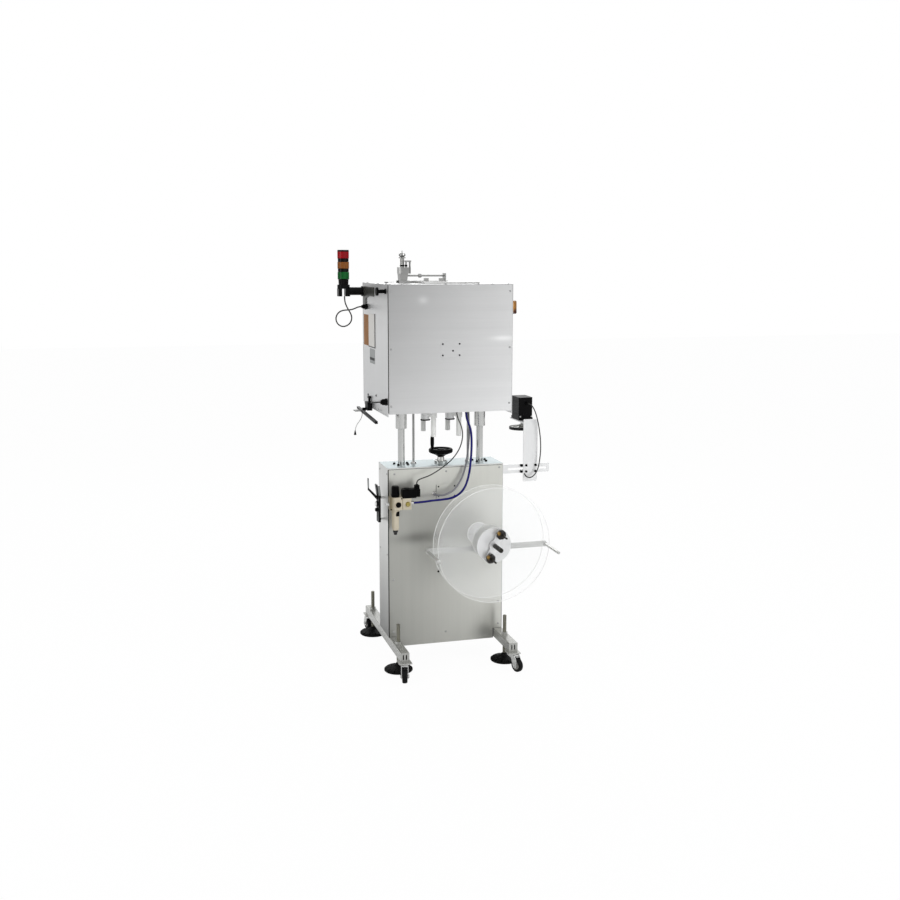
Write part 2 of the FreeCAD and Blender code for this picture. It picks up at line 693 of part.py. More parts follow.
def air_regulator():
    y = S.air_y
    x = S.air_x
    wide = S.air_body_width / 2
    deep = S.air_body_depth / 2
    low, high = S.air_body_bottom, S.air_body_top
    cast = body("regulator_body")
    add(cast, "XY", low, high, rectangle(-wide, -deep, wide, deep))
    soften(cast, 7, along(Vector(0, 0, 1)))
    add(cast, "XY", low - 6, low, circle(0, 0, S.bowl_radius + 3))
    add(cast, "XZ", -deep - 4, -deep + 1, circle(8, S.line_z, 12))
    cut(cast, "XY", high - 14, high + 1, circle(0, 0, 8 + S.fit))
    cut(cast, "YZ", -wide - 1, -wide + 12, circle(0, S.line_z, 6))

    bowl = body("filter_bowl")
    base = S.bowl_bottom
    ring = S.bowl_radius
    turn(bowl, (0, base - 21), (7, base - 21), (8, base - 12), (11, base - 10), (11.5, base - 1),
         (ring - 3, base), (ring - 1, base + 5),
         (ring, base + 14), (ring, low - 16), (ring + 2, low - 14), (ring + 2, low - 6), (0, low - 6))

    block = body("outlet_block")
    side = x + wide
    add(block, "XY", S.line_z - 24, S.line_z + 25,
        rectangle(side, y - deep + 2, side + S.outlet_width, y + deep - 2))
    soften(block, 4, along(Vector(0, 0, 1)))
    cut(block, "YZ", side + S.outlet_width - 10, side + S.outlet_width + 1, circle(y, S.line_z, 6))

    bracket = body("air_bracket")
    add(bracket, "XY", low + 6, high - 6, polygon(
        (x - wide + 6, y + deep), (x + wide - 6, y + deep), (x + wide - 6, front),
        (side + S.outlet_width, front), (side + S.outlet_width, front - 4), (x + wide - 10, front - 4),
        (x + wide - 10, y + deep + 4), (x - wide + 6, y + deep + 4)))
    group("air_regulator", [place(cast, x, y), place(bowl, x, y), place(block), place(bracket)])


def regulator_knob():
    part = body("regulator_knob")
    base = S.air_body_top
    high = S.air_knob_top
    knob = S.air_knob_radius
    turn(part, (0, base - 12), (8, base - 12), (8, base + 1), (knob - 2, base + S.air), (knob, base + 4),
         (knob, base + 14),
         (knob - 1.5, base + 16), (knob - 1.5, high - 4), (knob - 4, high), (0, high))
    flute = cut(part, "XY", base + 16, high + 1, circle(knob - 0.5, 0, 1.7))
    around(part, flute, 16)
    node(place(part, S.air_x, S.air_y), "regulator_knob")


valve_outlet = 56


def shutoff_valve():
    part = body("shutoff_valve")
    y = S.air_y
    side = S.air_x + S.air_body_width / 2
    seat = S.line_z + 25
    add(part, "XY", seat, seat + 39, rectangle(side + 2, y - 20, side + 62, y + 18))
    soften(part, 3, along(Vector(0, 0, 1)))
    add(part, "XY", seat + 3, seat + 36, rectangle(side + 61, y - 15, side + 80, y + 13))
    add(part, "XY", seat + 35, seat + 53, rectangle(side + 58, y - 11, side + 78, y + 9))
    add(part, "XY", seat + 52, seat + valve_outlet, circle(side + 68, y, 6))
    add(part, "XY", seat + 38, seat + 42, circle(side + 24, y, 12))
    node(place(part), "shutoff_valve")


def push_fitting(name, radius, length, bore):
    """A round push-in fitting with a hexagon at its root, drilled for the tube."""
    part = body(name)
    add(part, "XY", 0, length * 0.4, hexagon(0, 0, radius + 2))
    add(part, "XY", length * 0.4, length, circle(0, 0, radius))
    cut(part, "XY", length - 13, length, circle(0, 0, bore))
    return part


inlet_length = 16
outlet_length = 14
plug_length = 7


def air_fittings():
    x = S.air_x - S.air_body_width / 2
    inlet = push_fitting("air_inlet", 7.5, inlet_length, S.port_radius)
    right = S.air_x + S.air_body_width / 2 + S.outlet_width
    outlet = body("air_outlet")
    turn(outlet, (0, 0), (10, 0), (10, 7), (8, 8), (8, outlet_length - 1), (7, outlet_length),
         (0, outlet_length))
    plug = body("air_plug")
    turn(plug, (0, 0), (10, 0), (10, 4), (8, plug_length), (5, plug_length), (4, plug_length - 3),
         (0, plug_length - 3))
    grommet = body("panel_grommet")
    turn(grommet, (0, 0), (11, 0), (11, 3), (7, 9), (0, 9))
    group("air_fittings", [
        place(inlet, x, S.air_y, S.line_z, "left"),
        place(outlet, right, S.air_y, S.line_z, "right"),
        place(plug, right - 16, S.air_y - S.air_body_depth / 2 + 2, S.line_z, "front"),
        place(grommet, -55, front, 760, "front"),
    ])


# Guide clamp at the cabinet's left side: a black slotted bar held off the sheet by two spacers, with
# two flat arms.

def clamp_bracket():
    part = body("clamp_bracket")
    side = -half
    add(part, "YZ", side - 30, side - 20, rectangle(-38, 634, 4, 752))
    soften(part, 3, along(Vector(1, 0, 0)))
    cut(part, "YZ", side - 31, side - 19, slot(-18, 722, 26, 4.2), slot(-18, 668, 16, 4.2))
    add(part, "YZ", side - 21, side, circle(-18, 742, 5), circle(-18, 646, 5))
    add(part, "YZ", side - 36, side - 30, circle(-18, 714, 12), circle(-18, 688, 9))
    add(part, "XZ", -26, 2, polygon((side - 30, 744), (side - 24, 744), (side - 31, 800), (side - 38, 800)))
    add(part, "XZ", -30, -26, polygon((side - 30, 744), (side - 16, 744), (side - 22, 794),
                                      (side - 34, 794)))
    add(part, "XZ", -14, 2, polygon((side - 29, 728), (side - 29, 746), (side - 66, 784), (side - 70, 776)))
    add(part, "XZ", -11, -1, polygon((side - 70, 774), (side - 66, 786), (side - 67, 828),
                                     (side - 71, 828)))
    node(place(part), "clamp_bracket")


# Feed group: a slotted bar on the cabinet's right side, an upright plate with a shelf, the motor on the
# shelf and a rubber-rimmed feed wheel on its shaft below.

def feed_bar():
    part = body("feed_bar")
    y = S.feed_bar_y
    low = S.feed_bar_bottom
    high = low + S.feed_bar_height
    add(part, "XZ", y, y + S.feed_bar_thick, rectangle(half, low, S.feed_bar_end, high))
    add(part, "YZ", half, half + 6, rectangle(y, low - 18, y + 60, high + 8))
    soften(part, 3, lambda edge: along(Vector(0, 1, 0))(edge) and edge.CenterOfMass.x > 400)
    middle = (low + high) / 2
    left = half + 34
    right = S.feed_bar_end - 16
    cut(part, "XZ", y - 1, y + S.feed_bar_thick + 1,
        polygon((left, middle - 4.5), (right, middle - 4.5), (right + 4.5, middle), (right, middle + 4.5),
                (left, middle + 4.5), (left - 4.5, middle)))
    cut(part, "YZ", half - 1, half + 7, circle(y + 46, low - 6, 4.5), circle(y + 46, high - 4, 4.5))
    node(place(part), "feed_bar")


def feed_bracket():
    part = body("feed_bracket")
    y = S.feed_bar_y
    thick = S.upright_thick
    left = S.upright_left
    right = left + S.upright_width
    top = S.upright_top
    add(part, "XZ", y - thick, y, rectangle(left, S.upright_bottom, right, top))
    soften(part, 5, along(Vector(0, 1, 0)))
    add(part, "XY", top - 14 - S.shelf_thick, top - 14,
        rectangle(left + 2, y, right - 2, y + S.shelf_length))
    soften(part, 8, lambda edge: along(Vector(0, 0, 1))(edge) and edge.CenterOfMass.y > 100)
    middle = S.feed_bar_bottom + S.feed_bar_height / 2
    cut(part, "XZ", y - thick - 1, y + 1,
        circle(left + 12, middle - 14, 4.2), circle(left + 12, middle + 14, 4.2),
        circle(right - 12, middle - 14, 4.2), circle(right - 12, middle + 14, 4.2))
    cut(part, "XY", top - 30, top - 10, circle(S.motor_x, S.motor_y, S.motor_shaft + 8))
    node(place(part), "feed_bracket")


def feed_motor():
    part = body("feed_motor")
    x, y = S.motor_x, S.motor_y
    wide = S.motor_width / 2
    deep = S.motor_depth / 2
    base = S.upright_top - 14
    low = base + S.motor_flange
    add(part, "XY", low, low + S.motor_height, rectangle(x - wide, y - deep, x + wide, y + deep))
    soften(part, 5, along(Vector(0, 0, 1)))
    add(part, "XY", base, low, rectangle(x - wide - 1, y - deep - 3, x + wide + 1, y + deep + 3))
    for level in range(4):
        start = low + 14 + level * 18
        cut(part, "XY", start, start + 3,
            rectangle(x - wide - 1, y - deep - 1, x - wide + 1.5, y + deep + 1),
            rectangle(x + wide - 1.5, y - deep - 1, x + wide + 1, y + deep + 1))
    add(part, "XZ", y - deep - 12, y - deep + 1, circle(x + 6, low + 66, 7))
    add(part, "XY", base - S.shelf_thick - 2, base + 1, circle(x, y, S.motor_shaft + 6))
    cut(part, "XY", base - 20, base + 20, circle(x, y, S.motor_shaft + S.fit))
    node(place(part), "feed_motor")


def feed_wheel():
    part = body("feed_wheel")
    low = S.feed_wheel_z
    high = low + S.feed_wheel_thick
    rim = S.feed_wheel_radius
    shaft = S.motor_shaft
    end = S.upright_top - 14 + 18
    turn(part, (0, low - 4), (12, low - 4), (12, low + 3), (rim - 8, low + 3), (rim - 6, low),
         (rim - 1, low), (rim, low + 1),
         (rim, high - 1), (rim - 1, high), (rim - 6, high), (rim - 8, high - 3), (14, high - 3),
         (14, high + 10),
         (shaft, high + 12), (shaft, end), (0, end))
    window = cut(part, "XY", low - 1, high + 1, circle(rim * 0.55, 0, 9))
    around(part, window, 5)
    node(place(part, S.motor_x, S.motor_y), "feed_wheel")


# Head box: floor plate with cheeks for the drive rollers, a folded cover, the screwed panel of the reel
# side and a hinged door on the operator side.

head_half = S.head_width / 2
head_inside = head_half - S.head_sheet
floor_top = S.head_floor + S.head_floor_thick
hinge_x = head_half + S.hinge_offset
hinge_y = S.head_rear
hinge_pin = S.hinge_radius - 2.2
roof = S.head_top - S.head_sheet


def head_base_plate():
    part = body("head_base_plate")
    add(part, "XY", S.head_floor, floor_top,
        rectangle(-head_inside, S.head_front + S.head_sheet * 2, head_inside, S.head_rear))
    x, y = S.film_x, S.film_y
    near = y - S.cheek_gap / 2 - S.cheek_thick
    reach = S.mandrel_radius + S.roller_radius * 2 + 22
    cheek = rectangle(x - reach, floor_top, x + reach, S.roller_z + 34)
    add(part, "XZ", near, near + S.cheek_thick, cheek)
    add(part, "XZ", near + S.cheek_thick + S.cheek_gap, near + S.cheek_thick * 2 + S.cheek_gap, cheek)
    holes = [circle(x + side * roller_shift, S.roller_z, 5 + S.fit) for side in (-1, 1)]
    cut(part, "XZ", near - 1, near + S.cheek_thick * 2 + S.cheek_gap + 1, *holes)
    cut(part, "XY", S.head_floor - 1, floor_top + 1,
        *[circle(side * S.column_x, 0, S.housing_radius + S.fit) for side in (-1, 1)],
        *[circle(side * S.screw_x, 0, S.screw_radius + 6) for side in (-1, 1)],
        circle(x, y, S.mandrel_radius + 8))
    node(place(part), "head_base_plate")


def head_cover():
    part = body("head_cover")
    outer, inner = head_half, head_inside
    add(part, "XZ", S.head_front, S.head_rear,
        polygon((-outer, S.head_skirt), (-inner, S.head_skirt), (-inner, roof), (inner, roof),
                (inner, S.head_skirt), (outer, S.head_skirt), (outer, S.head_top), (-outer, S.head_top)))
    sheet_line = S.head_front + S.head_sheet
    reveal = inner - S.head_flange
    frame = polygon((-inner, floor_top), (-reveal, floor_top), (-reveal, roof - S.head_flange),
                    (reveal, roof - S.head_flange), (reveal, floor_top), (inner, floor_top), (inner, roof),
                    (-inner, roof))
    add(part, "XZ", sheet_line, sheet_line + S.head_sheet, frame)
    add(part, "XZ", S.head_rear - S.head_sheet, S.head_rear, frame)
    cut(part, "XY", roof - 1, S.head_top + 1, circle(S.film_x, S.film_y, S.mandrel_radius + 4))
    for low, high in ((S.head_skirt + 60, S.head_skirt + 110), (S.head_top - 110, S.head_top - 60)):
        add(part, "XY", low, high, rectangle(head_half - 1, hinge_y - 18, head_half + 3, hinge_y))
        add(part, "XY", low, high, circle(hinge_x, hinge_y, S.hinge_radius))
        add(part, "XY", low, high + 40, circle(hinge_x, hinge_y, hinge_pin))
    node(place(part), "head_cover")


def head_rear_panel():
    part = body("head_rear_panel")
    edge = head_inside - S.joint_gap
    add(part, "XZ", S.head_front, S.head_front + S.head_sheet,
        rectangle(-edge, S.head_floor - 2, edge, roof - S.joint_gap))
    node(place(part), "head_rear_panel")


def head_door():
    part = body("head_door")
    rim = S.head_rear + S.air
    face = rim + S.door_depth
    left, right = -head_half, head_half - 1
    low, high = S.head_floor - 2, S.head_top
    thick = S.door_thick
    add(part, "XZ", rim, face, rectangle(left, low, right, high))
    cut(part, "XZ", rim, face - thick, rectangle(left + thick, low + thick, right - thick, high - thick))
    for low, high in ((S.head_skirt + 110 + S.air, S.head_skirt + 150),
                      (S.head_top - 60 + S.air, S.head_top - 20)):
        add(part, "XY", low, high, rectangle(right - 1, hinge_y + 1, head_half + 3, face))
        add(part, "XY", low, high, circle(hinge_x, hinge_y, S.hinge_radius))
        cut(part, "XY", low - 1, high + 1, circle(hinge_x, hinge_y, hinge_pin + S.fit))
    grip_x = left + 34
    add(part, "XZ", face - 0.5, face + 26, circle(grip_x, 1330, 6), circle(grip_x, 1450, 6))
    add(part, "XY", 1320, 1460, circle(grip_x, face + 28, 7))
    node(place(part), "head_door")


roller_shift = S.mandrel_radius + S.roller_radius + 0.5


def lift_bearings():
    blocks = []
    for side in (-1, 1):
        part = body("column_bearing")
        bore = S.column_radius + S.fit
        shell = S.housing_radius
        low = S.housing_bottom
        turn(part, (bore, low), (shell - 1.5, low), (shell, low + 1.5), (shell, floor_top), (38, floor_top),
             (38, floor_top + 9), (shell, floor_top + 9), (shell, S.housing_top), (bore, S.housing_top))
        blocks.append(place(part, side * S.column_x))
    for side in (-1, 1):
        part = body("lift_nut")
        bore = S.screw_radius + S.fit
        turn(part, (bore, floor_top - 8), (9, floor_top - 8), (9, floor_top), (16, floor_top),
             (16, floor_top + 8),
             (10, floor_top + 8), (10, floor_top + 28), (bore, floor_top + 28))
        blocks.append(place(part, side * S.screw_x))
    group("lift_bearings", blocks)


def sleeve_guides():
    things = []
    for side in (-1, 1):
        rail = body("guide_rail")
        x = side * S.rail_x
        wide = S.rail_width / 2
        low = S.head_floor - S.rail_height
        add(rail, "XY", low, S.head_floor, rectangle(x - wide, -S.rail_length / 2, x + wide,
                                                     S.rail_length / 2))
        soften(rail, 2, along(Vector(0, 1, 0)))
        add(rail, "XY", S.post_bottom, low, circle(x, -S.post_y, S.post_radius),
            circle(x, S.post_y, S.post_radius))
        soften(rail, 1.5, lambda edge: isinstance(edge.Curve, Part.Circle)
               and abs(edge.CenterOfMass.z - number(S.post_bottom)) < 0.1)
        things.append(place(rail))
    group("sleeve_guides", things)


# Film path: the mandrel that hangs through the head with its opener tip over the roof, the bracket on
# the roof that holds it, and two rubber drive rollers that press on it.

def film_opener():
    part = body("film_opener")
    tube = S.mandrel_radius
    rod = S.opener_rod
    tip = S.opener_top
    turn(part, (0, S.mandrel_bottom), (tube - 4, S.mandrel_bottom), (tube, S.mandrel_bottom + 6),
         (tube, S.mandrel_top - 60),
         (rod + 2, S.mandrel_top), (rod, S.mandrel_top + 2), (rod, tip - 35), (16, tip - 34),
         (16, tip - 30), (rod, tip - 28), (14, tip - 25), (15.5, tip - 20), (14, tip - 14), (9, tip - 10),
         (3, tip - 8),
         (2, tip), (0, tip))
    node(place(part, S.film_x, S.film_y), "film_opener")


def opener_bracket():
    part = body("opener_bracket")
    x, y = S.film_x, S.film_y
    top = S.head_top
    rod = S.opener_rod
    add(part, "XY", top, top + 10, rectangle(x - 20, y - 46, x + 200, y + 34))
    add(part, "XY", top, top + 6, rectangle(x + 40, y - 235, x + 290, y - 40))
    cut(part, "XY", top - 1, top + 11, circle(x, y, S.mandrel_radius + 4))
    lower = add(part, "XZ", y - 22, y + 22, polygon((x - 13, top), (x + 17, top), (x + 22, top + 42),
                                                    (x - 17, top + 42)))
    part.Tip = lower
    add(part, "XY", top + 41, top + 69, polygon((x - 19, y - 18), (x - 12, y - 24), (x + 28, y - 24),
                                                (x + 35, y - 18),
                                                (x + 35, y + 18), (x + 28, y + 24), (x - 12, y + 24),
                                                (x - 19, y + 18)))
    cut(part, "XY", top - 1, top + 70, circle(x, y, rod + S.fit))
    add(part, "XY", top + 68, top + 96, circle(x + 14, y - 16, 4), circle(x + 32, y - 12, 4))
    add(part, "XY", top + 92, top + 99, rectangle(x + 9, y - 20, x + 37, y - 8))
    add(part, "YZ", x + 15, x + 196, circle(y - 14, top + 32, 4))
    add(part, "YZ", x + 72, x + 84, circle(y - 14, top + 32, 9))
    add(part, "XY", top + 9, top + 43, rectangle(x + 190, y - 30, x + 196, y + 8))
    add(part, "XY", top + 9, top + 21, rectangle(x + 98, y - 26, x + 116, y - 6),
        rectangle(x + 168, y - 26, x + 186, y - 6))
    node(place(part), "opener_bracket")


def drive_roller(label, side):
    part = body(label)
    rim = S.roller_radius
    half_width = S.roller_width / 2
    reach = S.cheek_gap / 2 + S.cheek_thick
    turn(part, (0, -reach - 2), (5, -reach - 2), (5, -half_width), (rim - 1, -half_width),
         (rim, -half_width + 1),
         (rim, half_width - 1), (rim - 1, half_width), (5, half_width), (5, reach + 2), (0, reach + 2))
    node(place(part, S.film_x + side * roller_shift, S.film_y, S.roller_z, "front"), label)


# Signal tower: three lens rings between black rings on a foot, and the flat bracket, tube and clamp
# block that hold it off the head's left side.

arm_level = S.head_top - S.arm_drop
tower_base = arm_level + 29


def tower_arm():
    part = body("tower_arm")
    side = -head_half
    outer = side - S.bracket_thick
    y = S.tower_y
    add(part, "YZ", outer, side, polygon((95, arm_level - 14), (y + 12, arm_level - 14), (y + 12, arm_level - 71),
                                         (y - 22, arm_level - 83), (y - 44, arm_level - 71),
                                         (y - 44, arm_level - 31), (95, arm_level + 1)))
    add(part, "YZ", outer, side, rectangle(95, arm_level - 19, y + 12, arm_level + 21))
    block = S.tower_x + 26
    add(part, "YZ", block - 1, outer, circle(y, arm_level, S.arm_radius))
    add(part, "YZ", outer - 10, outer, circle(y, arm_level, S.arm_radius + 5))
    base = tower_base - 18
    add(part, "XY", base, tower_base, circle(S.tower_x, y, 28))
    add(part, "XY", base - 34, base, rectangle(block - 18, y - 20, block, y + 20),
        rectangle(S.tower_x - 26, y - 20, S.tower_x - 10, y + 20))
    add(part, "YZ", block - 20, block, rectangle(y - 20, arm_level - 20, y + 20, base))
    node(place(part), "tower_arm")


LENS_STARTS = (25, 56, 100)


def signal_tower():
    part = body("signal_tower")
    ring = S.tower_radius
    base = tower_base
    top = base + S.tower_height
    step = S.tower_height / 154
    turn(part, (0, base), (22, base), (23, base + step * 22), (ring, base + step * 25),
         (ring, base + step * 56),
         (ring - 1.5, base + step * 57), (ring - 1.5, base + step * 71), (ring, base + step * 72),
         (ring, base + step * 101), (ring - 1.5, base + step * 102), (ring - 1.5, base + step * 116),
         (ring, base + step * 117), (ring, base + step * 149), (ring - 1, top), (0, top))
    node(place(part, S.tower_x, S.tower_y), "signal_tower")


def isolator_switch():
    part = body("isolator_switch")
    turn(part, (0, 0), (30, 0), (30, 12), (27, 16), (14, 18), (0, 18))
    add(part, "XY", 17, 34, polygon((-25, -7), (25, -9), (29, 0), (25, 9), (-25, 7), (-28, 0)))
    soften(part, 2, lambda edge: edge.CenterOfMass.z > 33.9)
    node(place(part, head_half + S.air, S.switch_y, S.switch_z, "right"), "isolator_switch")


gland_length = 28


def gland(radius):
    """A cable gland: a hexagon, a cap nut and the neck that the cable comes out of."""
    part = body("gland")
    add(part, "XY", 0, 9, hexagon(0, 0, radius + 2))
    add(part, "XY", 8, 22, circle(0, 0, radius))
    add(part, "XY", 21, gland_length, circle(0, 0, radius * 0.7))
    return part


def cable_glands():
    side = -head_half
    hanger = body("hanger")
    turn(hanger, (0, 0), (11, 0), (11, 4), (8, 6), (8, 32), (18, 33), (18, 39), (15, 42), (0, 42))
    grommets = []
    for x, y, radius in (hose_entry, cable_entry, valve_entry):
        ring = body("grommet")
        turn(ring, (0, 0), (radius + 7, 0), (radius + 7, 3), (radius + 3, 8), (0, 8))
        grommets.append(place(ring, x, y, S.head_floor, "down"))
    group("cable_glands", [
        place(gland(10), side, 234, arm_level - 67, "left"),
        place(gland(13), side, -145, 1178, "left"),
        place(hanger, side, -131, arm_level + 9, "left"),
    ] + grommets)


def sensor_arm():
    part = body("sensor_body")
    side = -head_half
    add(part, "YZ", side - 22, side, rectangle(152, 1104, 206, 1142))
    soften(part, 3, along(Vector(1, 0, 0)))
    add(part, "YZ", side - 12, side, rectangle(176, 1156, 200, 1166))
    add(part, "YZ", side - 10, side - 2, rectangle(182, 1140, 194, 1157))
    add(part, "YZ", side - 36, side - 21, circle(196, 1106, 8))
    add(part, "YZ", side - 42, side - 30, polygon((292, 1098), (296, 1108), (-94, 1090), (-98, 1079)))
    add(part, "XY", 1099, 1102, rectangle(feeler_x - 36, 178, side - 28, 226))
    group("sensor_arm", [place(part), film_feeler()])


# Film feeler: a bent spring wire under the sensor's arm, with a moulded cone at its end. It is a solid
# of its own beside the arm that carries it.

feeler_x = -312


def film_feeler():
    bends = [(feeler_x, 202, 1093.2), (feeler_x, 202, 1076), (-320, 202, 1058), (-334, 202, 1041),
             (-343, 202, 1022), (-345, 202, 1000)]
    path, radii = route(bends)
    ring = Part.Wire(Part.makeCircle(1.6, Vector(*bends[0]), Vector(0, 0, -1)))
    wire = path.makePipeShell([ring], True, False)
    cone = Part.makeCone(6, 2.2, 20, Vector(-345, 202, 990), Vector(0, 0, 1))
    thing = doc.addObject("Part::Feature", "film_feeler")
    thing.Shape = wire.fuse(cone).removeSplitter().Solids[0]
    return place(thing)


def route(points):
    corners = [Vector(*point) for point in points]
    edges = []
    radii = []
    start = corners[0]
    for before, corner, after in zip(corners, corners[1:], corners[2:]):
        back, ahead = before - corner, after - corner
        turn_angle = math.pi - back.getAngle(ahead)
        reach = 0.45 * min(back.Length, ahead.Length)
        radii.append(reach / math.tan(turn_angle / 2))
        back.normalize()
        ahead.normalize()
        enter, leave = corner + back * reach, corner + ahead * reach
        inward = (back + ahead).normalize()
        middle = corner + inward * (radii[-1] / math.cos(turn_angle / 2) - radii[-1])
        edges.append(Part.LineSegment(start, enter).toShape())
        edges.append(Part.Arc(enter, middle, leave).toShape())
        start = leave
    edges.append(Part.LineSegment(start, corners[-1]).toShape())
    return Part.Wire(edges), radii


def cord(label, radius, points):
    path, radii = route(points)
    heading = Vector(*points[1]) - Vector(*points[0])
    ring = Part.Wire(Part.makeCircle(radius, Vector(*points[0]), heading))
    tube = path.makePipeShell([ring], True, False)
    drawn = tube.Volume / (math.pi * radius ** 2 * path.Length)
    bends = " ".join(f"{bend:.0f}" for bend in radii)
    print(f"{label}: length {path.Length:.0f}, volume ratio {drawn:.4f}, bend radii {bends}")
    thing = doc.addObject("Part::Feature", label)
    thing.Shape = tube
    node(place(thing), label)


hose_entry = (82, -112, 5)
cable_entry = (100, -92, 4)
valve_entry = (36, -126, 2.5)


def cords():
    outlet = number(S.air_x + S.air_body_width / 2 + S.outlet_width) + outlet_length
    line = number(S.line_z)
    y = number(S.air_y)
    under = number(S.head_floor) - 8.4
    cord("air_hose", number(S.hose_radius), [
        (outlet, y, line), (-120, y, 738), (-78, -144, 742), (-34, -143, 743), (8, -142, 747),
        (42, -141, 760), (68, -140, 786), (84, -138, 824), (95, -134, 870), (102, -128, 925),
        (107, -120, 985), (105, -114, 1040), (93, -112, 1072), (84, -112, 1098), (83, -112, under)])
    cord("head_cable", 4, [
        (-55, number(front) - 9.2, 760), (-55, -109, 760), (-50, -119, 760), (-40, -126, 759),
        (-26, -129, 759), (-6, -128, 764), (22, -124, 777), (44, -120, 798), (64, -117, 830),
        (79, -114, 872), (89, -112, 922), (96, -108, 978), (101, -102, 1032), (101, -94, 1078),
        (100, -92, under)])
    connector = number(S.air_x + S.air_body_width / 2) + 68
    cord("valve_cable", 2.5, [
        (connector, y, line + 25 + valve_outlet), (-147.3, y, 824.8), (-144.9, y, 831),
        (-140.2, -144.9, 835.8), (-132, -144.4, 839.5), (-116.5, -143, 843.8), (-86, -140, 853),
        (-52, -137, 870), (-18, -133, 891), (14, -130, 915), (40, -129, 946), (58, -127, 982),
        (65, -126, 1022), (58, -126, 1062), (41, -126, 1094),
        (36, -126, under - 0.3)])
    cord("tower_cable", 3, [
        (-367, 300, 1609), (-367, 300, 1588), (-360, 300, 1566), (-349, 299, 1546), (-338, 298, 1527),
        (-335, 296, 1508),
        (-342, 294, 1490), (-357, 292, 1477), (-376, 290, 1472), (-395, 287, 1478), (-408, 284, 1493),
        (-412, 281, 1513),
        (-404, 277, 1533), (-388, 272, 1545), (-368, 266, 1548), (-348, 258, 1549), (-331, 246, 1555),
        (-318, 236, 1563),
        (number(-head_half) - gland_length, 234, 1564)])
    motor_front = number(S.motor_y - S.motor_depth / 2) - 12
    motor_line = number(S.upright_top - 14 + S.motor_flange) + 66
    cord("feed_cable", 2.5, [
        (number(S.motor_x) + 6, motor_front, motor_line), (406, -34, 1134), (410, -58, 1126),
        (417, -76, 1102), (425, -84, 1066),
        (433, -87, 1022), (439, -87, 975), (440, -87, 928), (436, -86, 884), (429, -86, 848),
        (417, -85, 825),
        (403, -85, 812), (390, -84, 808), (379, -81, 811), (373, -75, 818),
        (372, number(S.feed_bar_y - S.upright_thick), 825)])
    cord("sensor_cable", 2.5, [
        (number(-head_half) - gland_length, -145, 1178), (-313, -145, 1178), (-322, -141, 1177),
        (-329, -133, 1176),
        (-333, -121, 1175), (-332, -98, 1172), (-324, -50, 1168), (-312, -4, 1165), (-300, 44, 1160),
        (-290, 90, 1152), (-286, 124, 1142), (-285, 152, 1136)])


cabinet_shell()
cabinet_panel()
group("skids", [skid(-1), skid(1)])
for label, side, y in (("front_left", -1, S.foot_front), ("front_right", 1, S.foot_front),
                       ("rear_left", -1, S.foot_rear), ("rear_right", 1, S.foot_rear)):
    levelling_foot("foot_" + label, side, y)
for label, side, y, heading in (("front_left", -1, S.caster_front, -12),
                                ("front_right", 1, S.caster_front, 21),
                                ("rear_left", -1, S.caster_rear, -172),
                                ("rear_right", 1, S.caster_rear, 168)):
    caster(label, side, y, heading)
lift_columns()
lead_screw("lead_screw_left", -1)
lead_screw("lead_screw_right", 1)
drive_bearings()
drive_belt()
handwheel()
crank_grip()
reel_housing()
reel_hub()
reel_disc("reel_disc_rear", reel_depth(S.disc_rear), 20 + S.fit, S.reel_stud + S.fit)
reel_disc("reel_disc_front", reel_depth(S.disc_front), 20 + S.fit, S.reel_stud + S.air)
reel_clamp_bar()
reel_knob("reel_knob_upper", 0)
reel_knob("reel_knob_lower", 1)
film_guide()
air_regulator()
regulator_knob()
shutoff_valve()
air_fittings()
clamp_bracket()
feed_bar()
feed_bracket()
feed_motor()
feed_wheel()
head_base_plate()
head_cover()
head_rear_panel()
head_door()
lift_bearings()
sleeve_guides()
film_opener()
opener_bracket()
drive_roller("drive_roller_left", -1)
drive_roller("drive_roller_right", 1)
tower_arm()
signal_tower()
isolator_switch()
cable_glands()
sensor_arm()
cords()

doc.recompute()
broken = [thing.Name for thing in doc.Objects if {"Invalid", "Error"} & set(thing.State)]
if broken:
    raise RuntimeError(f"features that failed: {broken}")
unsound = [thing.Label for thing in nodes
           if thing.Shape.isNull() or not thing.Shape.isValid() or not thing.Shape.Solids]
if unsound:
    raise RuntimeError(f"shapes that are not sound: {unsound}")

os.makedirs("parts", exist_ok=True)
for thing in nodes:
    thing.Shape.exportStep(f"parts/{thing.Label}.step")
print(len(nodes), "nodes")
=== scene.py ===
import math
import bmesh
import bpy
from mathutils import Matrix, Vector


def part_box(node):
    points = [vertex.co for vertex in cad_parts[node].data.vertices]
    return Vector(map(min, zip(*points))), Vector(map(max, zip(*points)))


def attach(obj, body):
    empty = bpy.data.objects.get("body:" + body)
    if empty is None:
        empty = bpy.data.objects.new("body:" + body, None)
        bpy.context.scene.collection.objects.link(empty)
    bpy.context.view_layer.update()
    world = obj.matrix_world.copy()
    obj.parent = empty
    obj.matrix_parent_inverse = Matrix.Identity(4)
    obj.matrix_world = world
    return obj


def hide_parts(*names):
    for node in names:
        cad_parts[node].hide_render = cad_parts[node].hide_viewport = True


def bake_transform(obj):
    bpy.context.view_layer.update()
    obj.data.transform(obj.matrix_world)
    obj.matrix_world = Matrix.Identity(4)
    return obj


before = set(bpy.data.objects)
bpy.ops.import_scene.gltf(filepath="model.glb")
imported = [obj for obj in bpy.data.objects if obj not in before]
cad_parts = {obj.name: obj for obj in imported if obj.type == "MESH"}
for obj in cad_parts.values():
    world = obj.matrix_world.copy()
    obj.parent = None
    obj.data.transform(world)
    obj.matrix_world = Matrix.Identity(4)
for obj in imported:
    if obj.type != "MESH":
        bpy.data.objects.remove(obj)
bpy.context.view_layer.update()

# Camera: it stands left of the reel side at eye height, 5 m off, and looks slightly down.

FRAME_X, FRAME_Y = -47, -20


